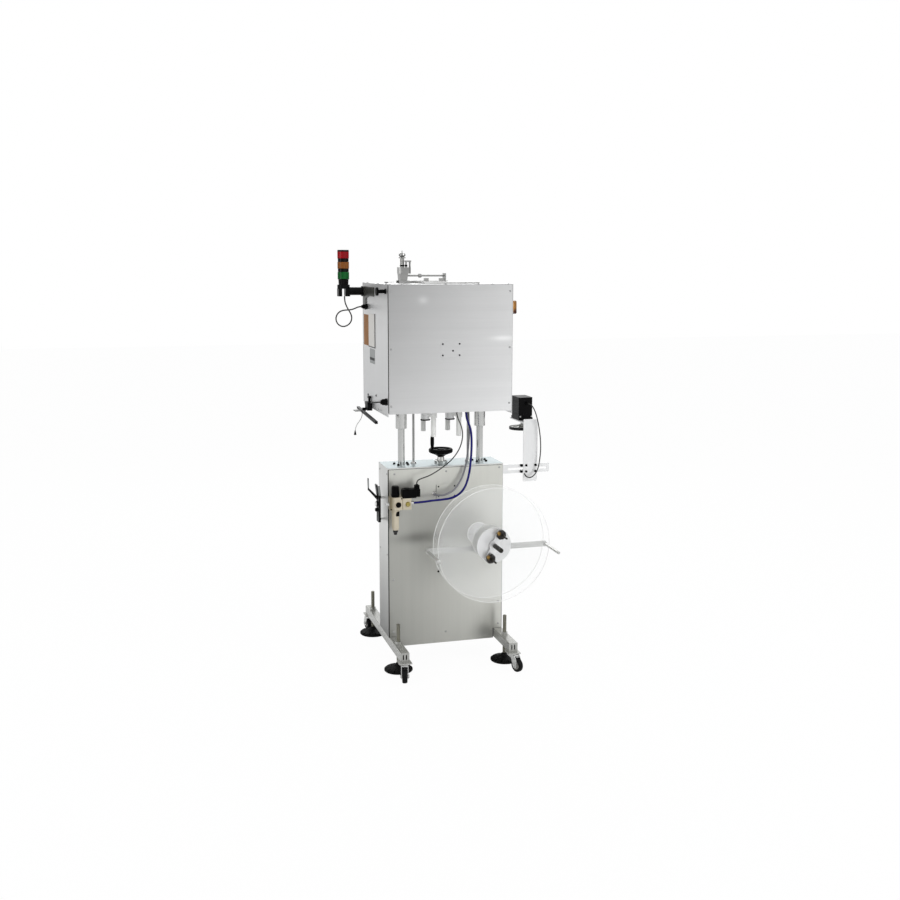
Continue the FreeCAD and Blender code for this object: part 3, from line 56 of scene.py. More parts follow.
def spot(x, y, z):
    return Vector(((x + FRAME_X) / 1000, (y + FRAME_Y) / 1000, z / 1000))


yaw, pitch, roll = 0.280, -0.163, 0.002
ahead = Vector((math.sin(yaw) * math.cos(pitch), math.cos(yaw) * math.cos(pitch), math.sin(pitch)))
level = Vector((math.cos(yaw), -math.sin(yaw), 0))
over = level.cross(ahead)
right = level * math.cos(roll) + over * math.sin(roll)
up = over * math.cos(roll) - level * math.sin(roll)
picture_width, focal_pixels = 900, 1141.874
lens = bpy.data.cameras.new("camera")
lens.sensor_width = 36
lens.lens = focal_pixels * lens.sensor_width / picture_width
lens.clip_end = 60
camera = bpy.data.objects.new("camera", lens)
turned_to = Matrix((right, up, -ahead)).transposed().to_4x4()
eye = spot(-1343.184, -4819.982, 1760.566)
camera.matrix_world = Matrix.Translation(eye) @ turned_to
bpy.context.scene.collection.objects.link(camera)
bpy.context.scene.camera = camera
bpy.context.scene.view_settings.view_transform = "Standard"


# Every surface is mixed from nodes. A Shade is a node's output that sums can be written with, and a
# Finish is one material. node() makes any node: its settings come first, then its sockets.

class Shade:
    def __init__(self, finish, socket):
        self.finish = finish
        self.socket = socket

    def sum(self, operation, *others, **settings):
        inputs = dict(enumerate((self,) + others))
        return self.finish.node("ShaderNodeMath", {"operation": operation, **settings}, inputs)

    def __add__(self, other):
        return self.sum("ADD", other)

    def __mul__(self, other):
        return self.sum("MULTIPLY", other)

    def __sub__(self, other):
        return self.sum("SUBTRACT", other)

    def __truediv__(self, other):
        return self.sum("DIVIDE", other)

    def __gt__(self, other):
        return self.sum("GREATER_THAN", other)

    def __lt__(self, other):
        return self.sum("LESS_THAN", other)

    def wave(self):
        return self.sum("SINE")

    def bell(self):
        """One where this is nought, and soon nothing beyond one."""
        return (self * self * -1.0).sum("EXPONENT")

    def between(self, low, high):
        return (self > low) * (self < high)

    def clamped(self):
        return self.sum("ADD", 0.0, use_clamp=True)


class Finish:
    def __init__(self, name, tree=None):
        if tree is None:
            self.material = bpy.data.materials.new(name)
            self.material.use_nodes = True
            tree = self.material.node_tree
        self.tree = tree
        self.tree.nodes.clear()

    def node(self, kind, settings=None, inputs=None, out=0):
        made = self.tree.nodes.new(kind)
        for name, value in (settings or {}).items():
            if name == "stops":
                for spare in list(made.color_ramp.elements)[1:]:
                    made.color_ramp.elements.remove(spare)
                made.color_ramp.elements[0].position = value[0][0]
                made.color_ramp.elements[0].color = value[0][1]
                for position, colour in value[1:]:
                    made.color_ramp.elements.new(position).color = colour
            else:
                setattr(made, name, value)
        for name, value in (inputs or {}).items():
            if isinstance(value, Shade):
                self.tree.links.new(value.socket, made.inputs[name])
            else:
                made.inputs[name].default_value = value
        return Shade(self, made.outputs[out]) if made.outputs else None

    def place(self):
        return self.node("ShaderNodeTexCoord", out="Object")

    def split(self, vector):
        parts = self.node("ShaderNodeSeparateXYZ", {}, {0: vector}).socket.node
        return [Shade(self, output) for output in parts.outputs]

    def stretched(self, x, y, z):
        return self.node("ShaderNodeVectorMath", {"operation": "MULTIPLY"}, {0: self.place(), 1: (x, y, z)})

    def noise(self, vector, scale, detail=3.0, rough=0.5):
        return self.node("ShaderNodeTexNoise", {}, {"Vector": vector, "Scale": scale, "Detail": detail,
                                                    "Roughness": rough})

    def mix(self, factor, first, second):
        return self.node("ShaderNodeMix", {"data_type": "RGBA"}, {0: factor, 6: first, 7: second}, out=2)

    def toned(self, colour, factor):
        return self.node("ShaderNodeVectorMath", {"operation": "SCALE"}, {0: colour[:3], "Scale": factor})

    def patch(self, centre, sizes):
        """A soft patch round a place, in millimetres; a size of None runs on without end."""
        shrink = Vector([1000 / size if size else 0 for size in sizes])
        here = self.stretched(*shrink)
        far = self.node("ShaderNodeVectorMath", {"operation": "DISTANCE"},
                        {0: here, 1: spot(*centre) * shrink}, out="Value")
        return far.bell()

    def reach(self, centre, keep=(1, 1, 1)):
        """How far a point is from centre, in metres; keep has a nought for the axis that is left out."""
        return self.node("ShaderNodeVectorMath", {"operation": "DISTANCE"},
                         {0: self.stretched(*keep), 1: Vector(centre) * Vector(keep)}, out="Value")

    def bump(self, height, distance, strength=1.0):
        return self.node("ShaderNodeBump", {},
                         {"Height": height, "Distance": distance, "Strength": strength})

    def principled(self, **values):
        inputs = {name.replace("_", " "): value for name, value in values.items()}
        return self.node("ShaderNodeBsdfPrincipled", {}, inputs)

    def done(self, shader):
        self.node("ShaderNodeOutputMaterial", {}, {"Surface": shader})
        return self.material


# Studio: a pale floor that fades to white for the camera, an even pale room with a darker front left
# side that metal reflects, one big soft lamp over the right shoulder and a weak one at the left.

room = bpy.data.worlds.new("studio")
room.use_nodes = True
bpy.context.scene.world = room
air = Finish("studio", room.node_tree)
heading = air.split(air.node("ShaderNodeTexCoord", out="Generated"))
across = heading[0] * 0.5 + 0.5
walls = air.node("ShaderNodeValToRGB", {"stops": [
    (0.0, (0.05, 0.05, 0.042, 1)), (0.14, (0.13, 0.128, 0.10, 1)), (0.25, (0.17, 0.168, 0.14, 1)),
    (0.31, (0.86, 0.87, 0.86, 1)), (0.42, (0.92, 0.92, 0.92, 1)), (0.52, (0.52, 0.52, 0.51, 1)),
    (0.64, (0.86, 0.86, 0.86, 1)), (0.79, (1.0, 1.0, 1.0, 1)), (0.92, (1.0, 1.0, 1.0, 1)),
    (0.97, (0.08, 0.08, 0.065, 1)), (1.0, (0.06, 0.06, 0.05, 1))]}, {0: across})
rear = air.node("ShaderNodeValToRGB", {"stops": [
    (0.0, (0.05, 0.05, 0.042, 1)), (0.11, (0.06, 0.06, 0.05, 1)), (0.2, (0.84, 0.84, 0.84, 1)),
    (0.82, (0.84, 0.84, 0.84, 1)), (0.9, (0.08, 0.08, 0.065, 1)), (1.0, (0.06, 0.06, 0.05, 1))]},
    {0: across})
behind = (heading[1] * 4.0 + 0.4).clamped()
walls = air.mix(behind, walls, rear)
overhead = (heading[2] * 1.6).clamped()
walls = air.mix(overhead, walls, (0.80, 0.81, 0.82, 1))
seen = air.node("ShaderNodeLightPath", out="Is Camera Ray")
lit = air.node("ShaderNodeBackground", {}, {"Color": walls, "Strength": 1.0})
plain = air.node("ShaderNodeBackground", {}, {"Color": (1, 1, 1, 1), "Strength": 1.0})
mixed = air.node("ShaderNodeMixShader", {}, {0: seen, 1: lit, 2: plain})
air.node("ShaderNodeOutputWorld", {}, {"Surface": mixed})

floor_mesh = bpy.data.meshes.new("floor")
floor_mesh.from_pydata([(-20, -20, 0), (20, -20, 0), (20, 20, 0), (-20, 20, 0)], [], [(0, 1, 2, 3)])
floor = bpy.data.objects.new("floor", floor_mesh)
bpy.context.scene.collection.objects.link(floor)
ground = Finish("studio_floor")
seen = ground.node("ShaderNodeLightPath", out="Is Camera Ray")
cloud = ground.noise(ground.place(), 1.5)
pale_grey = ground.mix(cloud, (0.82, 0.82, 0.82, 1), (0.86, 0.86, 0.86, 1))
matt = ground.principled(Base_Color=pale_grey, Roughness=0.9)
white = ground.node("ShaderNodeEmission", {}, {"Color": (1, 1, 1, 1), "Strength": 1.0})
fading = ground.node("ShaderNodeMixShader", {}, {0: seen * 0.965, 1: matt, 2: white})
floor_mesh.materials.append(ground.done(fading))


def lamp(name, place, aim, size, power):
    light = bpy.data.lights.new(name, "AREA")
    light.shape = "RECTANGLE"
    light.size, light.size_y = size
    light.energy = power
    piece = bpy.data.objects.new(name, light)
    piece.location = place
    piece.rotation_euler = (Vector(aim) - Vector(place)).to_track_quat("-Z", "Y").to_euler()
    bpy.context.scene.collection.objects.link(piece)


lamp("key_lamp", (3.4, -3.6, 3.6), (0, 0, 0.9), (2.6, 2.6), 95)
lamp("left_lamp", (-4.2, -1.2, 2.4), (0, 0, 1.1), (1.6, 2.6), 38)
lamp("back_lamp", (0.5, 4.0, 3.4), (0, 0, 1.0), (3.0, 2.0), 60)


# Hoses and cables: a blue air hose and two cables run from the cabinet up into the head; a looped
# lead serves the signal tower, and two thin leads the motor and the sensor.

def plastic(name, colour, rough=0.42, fleck=0.06, mark=500, shine=0.5):
    paint = Finish(name)
    spots = paint.noise(paint.place(), mark)
    wear = paint.noise(paint.place(), 14, 4)
    deeper = tuple(part * (1 - fleck * 3) for part in colour[:3]) + (1,)
    shade = paint.mix(wear, colour, deeper)
    return paint.done(paint.principled(Base_Color=shade, Roughness=wear * 0.16 + (rough - 0.08),
                                       Specular_IOR_Level=shine, Normal=paint.bump(spots, 0.0002, 0.25)))


blue_tube = plastic("blue_polyurethane", (0.004, 0.003, 0.13, 1), 0.28, 0.05, shine=0.3)
grey_cable = plastic("grey_cable", (0.22, 0.22, 0.24, 1), 0.5)
dark_cable = plastic("dark_cable", (0.012, 0.012, 0.012, 1), 0.5, shine=0.25)
thin_cable = plastic("thin_grey_cable", (0.03, 0.03, 0.027, 1), 0.5, shine=0.3)


def rounded_line(name, points, radius):
    """A smooth line through a cord's points, with a round section."""
    line = bpy.data.curves.new(name, "CURVE")
    line.dimensions = "3D"
    line.resolution_u = 16
    line.bevel_depth = radius / 1000
    line.bevel_resolution = 6
    line.use_fill_caps = radius > 0
    spline = line.splines.new("NURBS")
    spline.points.add(len(points) - 1)
    for knot, point in zip(spline.points, points):
        knot.co = (*spot(*point), 1)
    spline.order_u = 3
    spline.use_endpoint_u = True
    piece = bpy.data.objects.new(name, line)
    bpy.context.scene.collection.objects.link(piece)
    return piece


def lead(node, points, radius, finish, bodies):
    """A cord in place of its solid. One that runs between two bodies becomes a plain mesh tube, attached to
    neither.
    """
    curve = rounded_line(node + "_line", points, radius)
    exit_point = spot(*points[0])
    if len(bodies) == 1:
        piece, path = curve, None
        piece.data.materials.append(finish)
        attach(piece, bodies[0])
    else:
        bare = rounded_line(node + "_path", points, 0)
        bpy.context.view_layer.update()
        graph = bpy.context.evaluated_depsgraph_get()
        thread = bpy.data.meshes.new_from_object(bare.evaluated_get(graph))
        path = [tuple(vertex.co) for vertex in thread.vertices]
        tube = bpy.data.meshes.new_from_object(curve.evaluated_get(graph))
        for spare in (bare, curve):
            bpy.data.objects.remove(spare)
        piece = bpy.data.objects.new(node + "_tube", tube)
        bpy.context.scene.collection.objects.link(piece)
        tube.materials.clear()
        tube.materials.append(finish)
        spot(0, 0, points[0][2] + 40)
        spot(0, 0, 1110)
        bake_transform(piece)
    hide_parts(node)
    return piece


lead("air_hose", [
    (-161.5, -145, 737), (-120, -145, 738), (-78, -144, 742), (-34, -143, 743), (8, -142, 747),
    (42, -141, 760), (68, -140, 786), (84, -138, 824), (95, -134, 870), (102, -128, 925), (107, -120, 985),
    (105, -114, 1040), (93, -112, 1072), (84, -112, 1098), (83, -112, 1119.6)], 5, blue_tube,
    ("frame", "head"))
lead("head_cable", [
    (-55, -98.2, 760), (-55, -109, 760), (-50, -119, 760), (-40, -126, 759), (-26, -129, 759), (-6, -128, 764),
    (22, -124, 777), (44, -120, 798), (64, -117, 830), (79, -114, 872), (89, -112, 922), (96, -108, 978),
    (101, -102, 1032), (101, -94, 1078), (100, -92, 1119.6)], 4, grey_cable, ("frame", "head"))
lead("valve_cable", [
    (-147.5, -145, 818), (-147.3, -145, 824.8), (-144.9, -145, 831), (-140.2, -144.9, 835.8),
    (-132, -144.4, 839.5), (-116.5, -143, 843.8), (-86, -140, 853), (-52, -137, 870), (-18, -133, 891),
    (14, -130, 915), (40, -129, 946), (58, -127, 982), (65, -126, 1022), (58, -126, 1062), (41, -126, 1094),
    (36, -126, 1119.3)], 2.5, thin_cable, ("frame", "head"))
lead("tower_cable", [
    (-367, 300, 1609), (-367, 300, 1588), (-360, 300, 1566), (-349, 299, 1546), (-338, 298, 1527),
    (-335, 296, 1508), (-342, 294, 1490), (-357, 292, 1477), (-376, 290, 1472), (-395, 287, 1478),
    (-408, 284, 1493), (-412, 281, 1513), (-404, 277, 1533), (-388, 272, 1545), (-368, 266, 1548),
    (-348, 258, 1549), (-331, 246, 1555), (-318, 236, 1563), (-303.4, 234, 1564)], 3, thin_cable,
    ("head",))
lead("feed_cable", [
    (404, -12, 1134), (406, -34, 1134), (410, -58, 1126), (417, -76, 1102), (425, -84, 1066), (433, -87, 1022),
    (439, -87, 975), (440, -87, 928), (436, -86, 884), (429, -86, 848), (417, -85, 825), (403, -85, 812),
    (390, -84, 808), (379, -81, 811), (373, -75, 818), (372, -66, 825)], 2.5, thin_cable,
    ("frame",))
lead("sensor_cable", [
    (-303.4, -145, 1178), (-313, -145, 1178), (-322, -141, 1177), (-329, -133, 1176), (-333, -121, 1175),
    (-332, -98, 1172), (-324, -50, 1168), (-312, -4, 1165), (-300, 44, 1160), (-290, 90, 1152),
    (-286, 124, 1142), (-285, 152, 1136)], 2.5, dark_cable, ("head",))


# Cabinet: folded and welded stainless sheet with a fine vertical grain, a screwed front panel, a
# blind access plate, and a row of button head screws.

def stainless(name, shade, rough, grain, warm=0.0, painted_shading=None, painted_reflections=(), lid=None):
    """Ground stainless sheet. grain is the way the fine scratches run: x, y or z. fade is two places and
    the tone at each, a painted shade gradient; clouds are soft patches (place, sizes, gain) of painted
    highlight and painted dark reflection; lid is a height with a painted reflection tone above it."""
    steel = Finish(name)
    stretch = {"x": (6, 420, 420), "y": (420, 6, 420), "z": (420, 420, 6)}[grain]
    fine = steel.noise(steel.stretched(*stretch), 1.0, 4, 0.6)
    wide = steel.noise(steel.stretched(*(part / 9 for part in stretch)), 1.0, 2)
    cloud = steel.noise(steel.place(), 3.2, 3)
    factor = fine * 0.07 + wide * 0.08 + cloud * 0.07 + 0.87
    # A painted shade gradient: the tone runs from low at the first place to high at the second.
    if painted_shading:
        start, end, low, high = painted_shading
        line = spot(*end) - spot(*start)
        along = steel.node("ShaderNodeVectorMath", {"operation": "DOT_PRODUCT"},
                           {0: steel.place(), 1: line}, out="Value")
        reach = ((along - spot(*start).dot(line)) / line.length_squared).clamped()
        factor = factor * (reach * (high - low) + low)
    # Soft patches of painted highlight, and with a negative gain painted dark reflections.
    for centre, sizes, gain in painted_reflections:
        factor = factor * (steel.patch(centre, sizes) * gain + 1.0)
    tone = steel.toned((shade, shade, shade * (1 - warm)), factor)
    # The top above the given height gets its own tone, a painted reflection.
    if lid:
        height, painted_top_tone = lid
        tone = steel.mix(steel.split(steel.place())[2] > height, tone, painted_top_tone)
    return steel.done(steel.principled(
        Base_Color=tone, Metallic=0.72,
        Roughness=fine * 0.12 + cloud * 0.06 + (rough - 0.09),
        Normal=steel.bump(fine, 0.00012, 0.5)))


def dress(finish, *nodes):
    for node in nodes:
        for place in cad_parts[node].material_slots:
            place.material = finish


def piece_of(name, body, finish, draw, soft=35):
    """A mesh piece at its place in the frame, drawn by draw() in millimetres."""
    form = bmesh.new()
    draw(form)
    bmesh.ops.recalc_face_normals(form, faces=form.faces)
    for edge in form.edges:
        edge.smooth = edge.calc_face_angle(0) < math.radians(soft)
    for face in form.faces:
        face.smooth = True
    for vertex in form.verts:
        vertex.co = spot(*vertex.co)
    mesh = bpy.data.meshes.new(name)
    form.to_mesh(mesh)
    form.free()
    mesh.materials.append(finish)
    piece = bpy.data.objects.new(name, mesh)
    bpy.context.scene.collection.objects.link(piece)
    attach(piece, body)
    return piece


def lathe(form, profile, place, toward, sides=24):
    """Turns (radius, height) corners about a line from place. A third value makes a hexagon ring."""
    axis = Vector(toward).normalized()
    side = axis.orthogonal().normalized()
    other = axis.cross(side)
    rings = []
    for radius, height, *hexagon in profile:
        ring = []
        for step in range(sides):
            angle = 2 * math.pi * step / sides
            reach = radius
            if hexagon:
                reach = radius * math.cos(math.pi / 6) / math.cos(angle % (math.pi / 3) - math.pi / 6)
            ray = side * math.cos(angle) + other * math.sin(angle)
            ring.append(form.verts.new(Vector(place) + axis * height + ray * reach))
        rings.append(ring)
    for low, high in zip(rings, rings[1:]):
        for step in range(sides):
            following = (step + 1) % sides
            form.faces.new((low[step], low[following], high[following], high[step]))
    form.faces.new(rings[0][::-1])
    form.faces.new(rings[-1])


def slab(form, low, high, edge=0.6):
    """A plate between two corners with its edges broken."""
    grown = bmesh.ops.create_cube(form, size=1)["verts"]
    for vertex in grown:
        vertex.co = Vector([a + (b - a) * (c + 0.5) for a, b, c in zip(low, high, vertex.co)])
    edges = list({line for vertex in grown for line in vertex.link_edges})
    bmesh.ops.bevel(form, geom=edges, offset=edge, segments=1, affect="EDGES", profile=0.5)


def button_screws(places, toward, radius=5, height=2.8):
    """Button head screws with a hexagon socket, all looking the same way."""
    def draw(form):
        for place in places:
            lathe(form, [
                (radius, -0.4), (radius, 0.5), (radius * 0.86, height * 0.72), (radius * 0.6, height),
                (radius * 0.52, height, "hex"), (radius * 0.48, height * 0.35, "hex")], place, toward)
    return draw


# The shell sheet darkens towards the bottom as painted shade, and the lid's top gets a painted reflection tone.
cabinet_steel = stainless("cabinet_stainless", 0.72, 0.36, "z", 0.03,
                          lid=(0.8815, (0.40, 0.46, 0.47, 1)), painted_shading=((0, 0, 120), (0, 0, 640), 0.22, 1.0))
# The front panel: a painted shade gradient, darker to the left; a painted highlight at the top left; painted
# dark reflections of the parts in front of it.
panel_steel = stainless(
    "panel_stainless", 0.575, 0.32, "z", 0.07, painted_shading=((-262, -89, 300), (262, -89, 470), 0.68, 1.2), painted_reflections=[
        ((-200, -89, 860), (240, None, 80), 0.3), ((-140, -89, 566), (100, None, 24), -0.34),
        ((-90, -89, 470), (90, None, 110), -0.16), ((189, -89, 112), (48, None, 34), -0.4),
        ((221, -89, 175), (11, None, 52), -0.3), ((-60, -89, 640), (150, None, 140), -0.18)])
screw_steel = stainless("screw_steel", 0.42, 0.3, "x")
black_screw = plastic("blackened_screw", (0.002, 0.002, 0.002, 1), 0.4, shine=0.1)
black_rubber = plastic("black_rubber", (0.002, 0.002, 0.002, 1), 0.62, shine=0.08)
dress(cabinet_steel, "cabinet_shell")
dress(panel_steel, "cabinet_panel")
piece_of("cabinet_screws", "frame", screw_steel, button_screws(
    [(-232, -89, 856), (0, -89, 858), (245, -89, 864), (-239, -89, 384), (245, -89, 250), (-240, -89, 145),
     (245, -89, 145), (0, -89, 128)], (0, -1, 0), 4.5, 2.4))
piece_of("cabinet_side_screws", "frame", screw_steel, button_screws(
    [(-262.5, y, z) for y in (-74, 62) for z in (160, 497, 855)], (-1, 0, 0), 4.5, 2.4))
piece_of("cabinet_access_plate", "frame", panel_steel,
         lambda form: slab(form, (-45, -91.2, 739), (48, -88.8, 800), 0.5))
piece_of("cabinet_access_screws", "frame", black_screw, button_screws(
    [(x, -91.2, z) for x in (-35, 38) for z in (748, 791)], (0, -1, 0), 3.6, 2))
# Black strips in the panel's left and top seams and at the access plate's left edge: painted shade in the gaps.
piece_of("cabinet_gap_shade", "frame", black_rubber, lambda form: [
    slab(form, (-262.4, -89.4, 98), (-258.2, -88.6, 876), 0.1),
    slab(form, (-258.4, -89.4, 874.6), (256, -88.6, 876.4), 0.1),
    slab(form, (-46.6, -90.6, 739), (-45, -88.8, 800), 0.1)])
piece_of("guide_bracket_screw", "frame", black_screw, button_screws(
    [(-35, -89, 408)], (0, -1, 0), 5, 2.6))
piece_of("lid_bolts", "frame", black_screw, button_screws(
    [(side * 180 + dx, dy, 882) for side in (-1, 1)
     for dx, dy in ((-29, 14), (29, 14), (-20, -27), (24, -25))],
    (0, 0, 1), 6, 7))


# Undercarriage: two square tubes with slotted end caps, rubber levelling pads on long threaded studs,
# and four small swivel casters in bright zinc with black tyres.

skid_steel = stainless("skid_stainless", 0.44, 0.28, "y", 0.05)
zinc = stainless("bright_zinc", 0.58, 0.26, "z", 0.02)
dress(skid_steel, "skids")


def foot_finish():
    """A black rubber pad up to the hexagon, and a bright threaded stud over it, its grooves darkened in colour
    as painted shade.
    """
    foot = Finish("foot_rubber_and_stud")
    place = foot.place()
    height = foot.split(place)[2]
    grit = foot.noise(place, 260, 3)
    rubber = foot.principled(Base_Color=foot.mix(grit, (0.002, 0.002, 0.002, 1), (0.005, 0.005, 0.005, 1)),
                             Roughness=grit * 0.2 + 0.5, Specular_IOR_Level=0.1,
                             Normal=foot.bump(grit, 0.0006, 0.4))
    thread_pitch, stud_start = 0.002, 0.042
    turns = (height * (2 * math.pi / thread_pitch)).wave()
    # Painted shade: the thread's grooves are darker in colour than the tops of the thread.
    groove_shaded_thread = foot.mix(turns * 0.5 + 0.5, (0.08, 0.078, 0.06, 1), (0.28, 0.27, 0.22, 1))
    stud = foot.principled(Base_Color=groove_shaded_thread, Metallic=0.8, Roughness=grit * 0.1 + 0.27,
                           Normal=foot.bump(turns, 0.0005, 0.7))
    return foot.done(foot.node("ShaderNodeMixShader", {}, {0: height > stud_start, 1: rubber, 2: stud}))


rubber_foot = foot_finish()


def wheel_finish(name, centre):
    """A black tyre round a grey hub, for a wheel whose middle lies at centre."""
    wheel = Finish(name)
    place = wheel.place()
    hub_radius = 0.0205
    hub = wheel.reach(centre) < hub_radius
    grit = wheel.noise(place, 300, 3)
    tone = wheel.mix(grit, (0.002, 0.002, 0.002, 1), (0.006, 0.006, 0.006, 1))
    return wheel.done(wheel.principled(Base_Color=wheel.mix(hub, tone, (0.30, 0.29, 0.27, 1)),
                                       Roughness=grit * 0.15 + 0.42, Specular_IOR_Level=0.12,
                                       Normal=wheel.bump(grit, 0.0004, 0.3)))


for corner in ("front_left", "front_right", "rear_left", "rear_right"):
    dress(rubber_foot, "foot_" + corner)
    dress(zinc, "caster_fork_" + corner)
    lowest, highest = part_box("caster_wheel_" + corner)
    middle = (Vector(lowest) + Vector(highest)) / 2
    dress(wheel_finish("tyre_" + corner, middle), "caster_wheel_" + corner)


# Lift: two ground columns, two threaded lead screws, bright bearings in the lid, and a black
# handwheel with a turning grip.

def chromed(name, shade, rough, turns_per_mm=0.0, axis=2):
    """Ground or plated steel; with turns it shows a thread's bands along one axis, the grooves darkened in
    colour as painted shade.
    """
    rod = Finish(name)
    place = rod.place()
    dull = rod.noise(place, 60, 3)
    tone = rod.mix(dull, (shade * 0.9, shade * 0.9, shade * 0.88, 1), (shade, shade, shade * 0.98, 1))
    relief = rod.noise(rod.stretched(900, 900, 900), 1.0)
    depth, amount = 0.00004, 0.2
    if turns_per_mm:
        relief = (rod.split(place)[axis] * (2 * math.pi * turns_per_mm * 1000)).wave()
        # Painted shade: the thread's grooves are darker in colour.
        tone = rod.mix(relief * 0.5 + 0.5, (shade * 0.5, shade * 0.5, shade * 0.48, 1), tone)
        depth, amount = 0.0006, 0.8
    return rod.done(rod.principled(Base_Color=tone, Metallic=0.95, Roughness=dull * 0.08 + (rough - 0.04),
                                   Normal=rod.bump(relief, depth, amount)))


ground_rod = chromed("ground_rod", 0.70, 0.12)
bearing_steel = chromed("bearing_steel", 0.74, 0.2)
screw_rod = chromed("threaded_rod", 0.70, 0.3, 0.33)
bright_hub = chromed("bright_hub", 0.66, 0.24)
black_plastic = plastic("black_moulding", (0.002, 0.002, 0.0022, 1), 0.42, shine=0.05)
dress(ground_rod, "lift_columns")
dress(screw_rod, "lead_screw_left", "lead_screw_right")
dress(bright_hub, "drive_bearings")
dress(black_rubber, "drive_belt")
dress(black_plastic, "handwheel", "crank_grip")
piece_of("wheel_bearing_screws", "frame", black_screw, button_screws(
    [(23 * math.cos(math.radians(a)), 23 * math.sin(math.radians(a)), 888) for a in (45, 135, 225, 315)],
    (0, 0, 1), 4.6, 6))


# Reel: two clear acrylic discs with polished rims, a flanged hub and housing, a clamp bar over the
# spindle, and two black knobs with a painted gold highlight each, on long studs.

def acrylic(name, centre):
    """Clear sheet 5 mm thick whose rim is made nearly opaque and pale, a painted gleam of the polished edge.
    The alpha follows the distance from centre.
    """
    clear = Finish(name)
    rim_start = 0.2488
    # The rim's opacity and tone are a painted highlight of the polished edge.
    rim = clear.reach(centre, (1, 0, 1)) > rim_start
    haze = clear.noise(clear.place(), 4, 3)
    alpha = (rim * 0.68 + haze * 0.04 + 0.06).clamped()
    tone = clear.mix(rim, (0.96, 0.97, 0.97, 1), (0.95, 0.95, 0.94, 1))
    return clear.done(clear.principled(Base_Color=tone, Roughness=haze * 0.05 + 0.08, Alpha=alpha))


reel_centre = spot(147, 0, 570)
dress(acrylic("clear_disc", reel_centre), "reel_disc_rear", "reel_disc_front")
satin_aluminium = stainless("satin_aluminium", 0.74, 0.32, "x")
pale_aluminium = stainless("pale_aluminium", 0.86, 0.36, "z")


def hub_finish():
    """Pale turned aluminium with a dark threaded spindle and dark stud ends past the knobs."""
    hub = Finish("pale_hub")
    place = hub.place()
    spindle_radius = 0.014
    spindle = hub.reach(reel_centre, (1, 0, 1)) < spindle_radius
    grain = hub.noise(place, 90, 4)
    ends = hub.split(place)[1] < spot(0, -352, 0).y
    dark = (spindle + ends).clamped()
    tone = hub.mix(grain, (0.62, 0.62, 0.60, 1), (0.80, 0.80, 0.78, 1))
    return hub.done(hub.principled(Base_Color=hub.mix(dark, tone, (0.02, 0.018, 0.014, 1)),
                                   Metallic=0.6, Roughness=grain * 0.15 + 0.36))


dress(pale_aluminium, "reel_clamp_bar", "reel_housing")
dress(hub_finish(), "reel_hub")


def knob_finish(name, centre):
    """A lacquered black knob with a painted gold highlight left of its middle."""
    knob = Finish(name)
    wear = knob.noise(knob.place(), 160, 3)
    # Painted highlight: a gold patch, broken up by the noise that also varies the roughness.
    painted_glint = (knob.patch(centre, (7, None, 9)) * 1.5 + wear - 0.8).clamped()
    tone = knob.mix(painted_glint, (0.006, 0.004, 0.003, 1), (0.34, 0.20, 0.045, 1))
    return knob.done(knob.principled(Base_Color=tone, Roughness=wear * 0.15 + 0.2, Specular_IOR_Level=0.4,
                                     Metallic=painted_glint * 0.6))


for end in ("upper", "lower"):
    lowest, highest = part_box("reel_knob_" + end)
    middle = (Vector(lowest) + Vector(highest)) * 500
    # The painted highlight sits 12 mm left of and 8 mm above each knob's middle.
    dress(knob_finish(end + "_knob_lacquer", (middle.x - FRAME_X - 12, middle.y - FRAME_Y, middle.z + 8)),
          "reel_knob_" + end)


# Film guide: a flat aluminium bar behind the discs with a round rod screwed to each end, one of them
# with a ball. It is bolted to the reel's housing and steers the film as it leaves the roll.

guide_aluminium = stainless("guide_aluminium", 0.58, 0.36, "x", 0.03)
dress(guide_aluminium, "film_guide")


# Air unit: a beige regulator with a black knob, a metal bowl with a sight patch and a drain, a black
# valve over the outlet block, a brass plug, and nickel fittings.

def regulator_finish():
    cast = Finish("beige_casting")
    place = cast.place()
    height = cast.split(place)[2]
    grit = cast.noise(place, 420, 3)
    wear = cast.noise(place, 24, 3)
    bowl_foot = 0.6225
    drain = height < bowl_foot
    tone = cast.mix(wear, (0.49, 0.435, 0.32, 1), (0.60, 0.54, 0.43, 1))
    shaded = ((cast.split(place)[0] - spot(-248, 0, 0).x) * -55.0).clamped()
    tone = cast.mix(shaded, tone, (0.15, 0.12, 0.06, 1))
    tone = cast.mix(drain, tone, (0.004, 0.004, 0.004, 1))
    return cast.done(cast.principled(Base_Color=tone, Roughness=grit * 0.15 + 0.34,
                                     Normal=cast.bump(grit, 0.0003, 0.3)))


def brass(name):
    turned_brass = Finish(name)
    grain = turned_brass.noise(turned_brass.place(), 200, 3)
    tone = turned_brass.mix(grain, (0.28, 0.22, 0.04, 1), (0.50, 0.42, 0.14, 1))
    return turned_brass.done(turned_brass.principled(
        Base_Color=tone, Metallic=0.9, Roughness=grain * 0.15 + 0.22))


